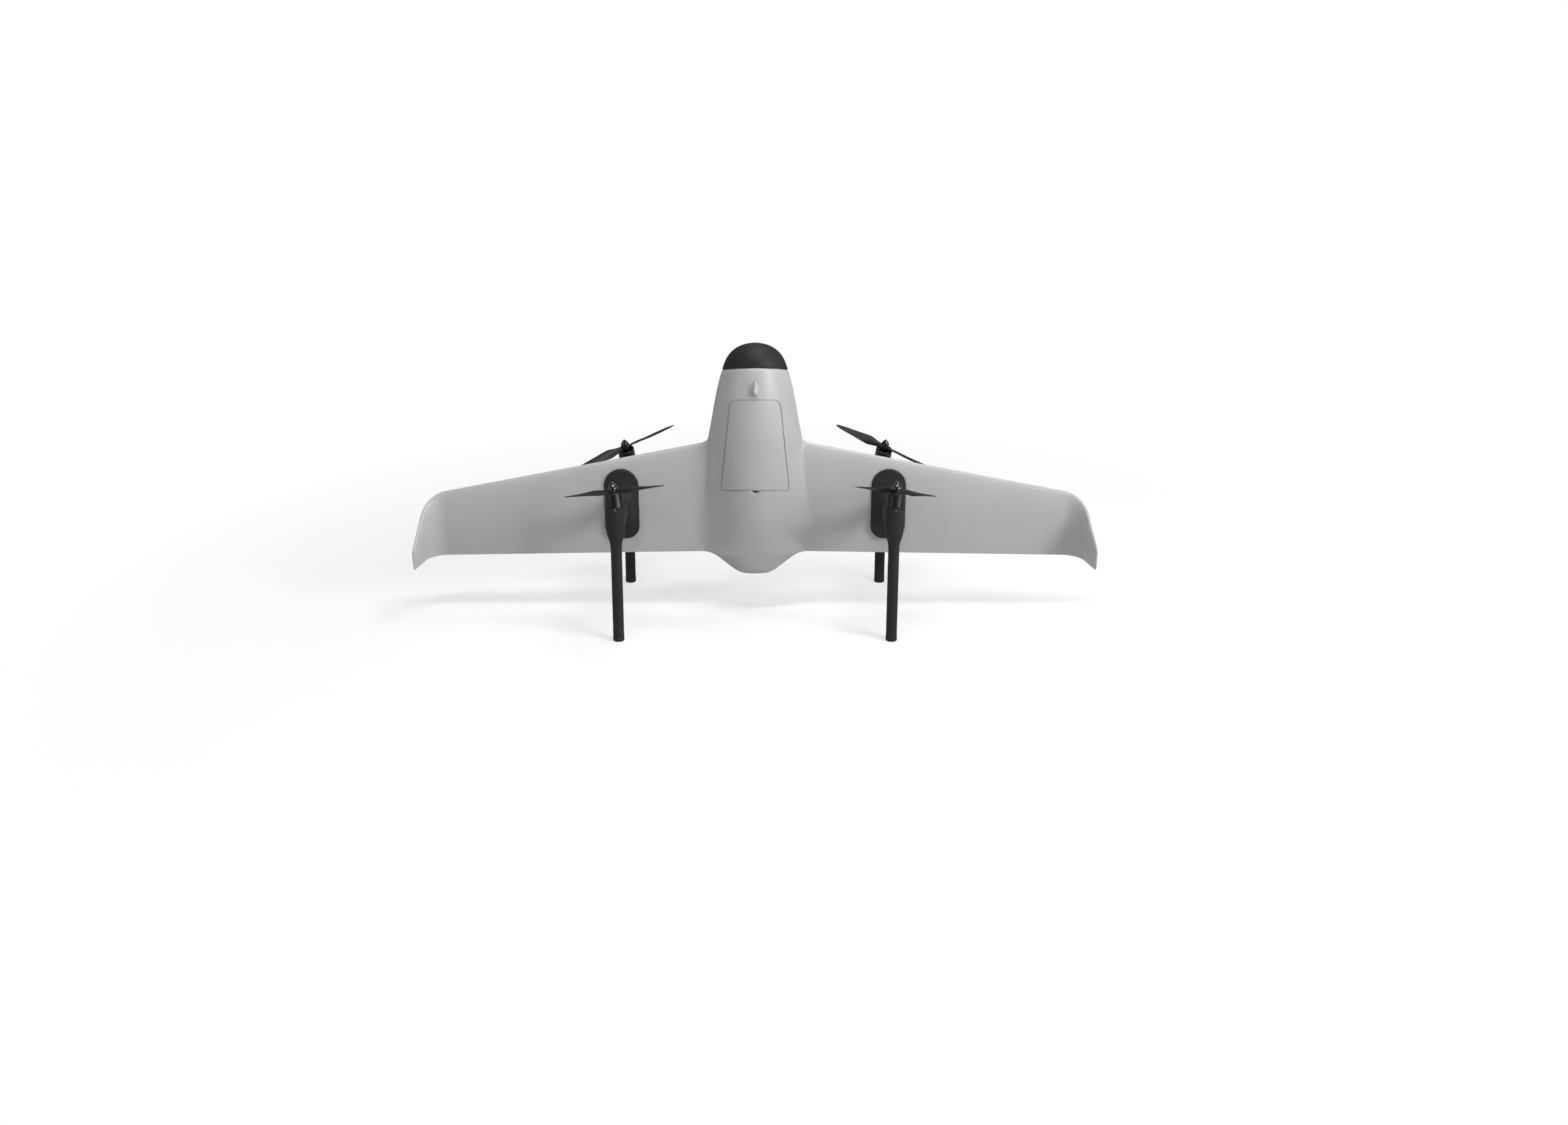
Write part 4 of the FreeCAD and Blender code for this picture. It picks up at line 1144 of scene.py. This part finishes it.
def studio_world():
    """White to the camera; a dim dome, brighter above and darker in front, for the lighting."""
    world = bpy.data.worlds.new("studio")
    world.use_nodes = True
    tree = world.node_tree
    tree.nodes.clear()
    direction = tree.nodes.new("ShaderNodeTexCoord").outputs["Generated"]
    towards = tree.nodes.new("ShaderNodeVectorMath")
    towards.operation = "DOT_PRODUCT"
    towards.inputs[1].default_value = (0.25, 0.45, 0.85)
    tree.links.new(direction, towards.inputs[0])
    ramp = tree.nodes.new("ShaderNodeMapRange")
    ramp.inputs["From Min"].default_value = -1.0
    ramp.inputs["To Min"].default_value = 0.05
    ramp.inputs["To Max"].default_value = 0.42
    tree.links.new(towards.outputs["Value"], ramp.inputs["Value"])
    dome_light = tree.nodes.new("ShaderNodeBackground")
    tree.links.new(ramp.outputs["Result"], dome_light.inputs["Strength"])
    white = tree.nodes.new("ShaderNodeBackground")
    white.inputs["Color"].default_value = (1, 1, 1, 1)
    seen = tree.nodes.new("ShaderNodeLightPath").outputs["Is Camera Ray"]
    either = tree.nodes.new("ShaderNodeMixShader")
    tree.links.new(seen, either.inputs["Fac"])
    tree.links.new(dome_light.outputs["Background"], either.inputs[1])
    tree.links.new(white.outputs["Background"], either.inputs[2])
    output = tree.nodes.new("ShaderNodeOutputWorld")
    tree.links.new(either.outputs["Shader"], output.inputs["Surface"])
    return world


def soft_light(name, place, size, power):
    """Rectangular light aimed at the middle of the drone."""
    light = bpy.data.lights.new(name, "AREA")
    light.shape = "RECTANGLE"
    light.size, light.size_y = size
    light.energy = power
    lamp = bpy.data.objects.new(name, light)
    lamp.location = place
    lamp.rotation_euler = (AIM - Vector(place)).to_track_quat("-Z", "Y").to_euler()
    bpy.context.scene.collection.objects.link(lamp)


def build_camera():
    """In front of the dorsal side, looking down a little."""
    camera = bpy.data.cameras.new("camera")
    camera.sensor_width = 36.0
    camera.lens = CAMERA_LENS
    camera.shift_x, camera.shift_y = CAMERA_SHIFT
    holder = bpy.data.objects.new("camera", camera)
    holder.location = CAMERA_PLACE
    holder.rotation_euler = (math.radians(90 - CAMERA_DOWN), 0, 0)
    bpy.context.scene.collection.objects.link(holder)
    bpy.context.scene.camera = holder
    bpy.context.scene.view_settings.view_transform = "Standard"


dress_cad_nodes()
build_fuselage()
build_hatch()
build_nose_cap()
build_probe()
build_wings()
build_pylons()
build_propellers()
build_studio()
build_camera()
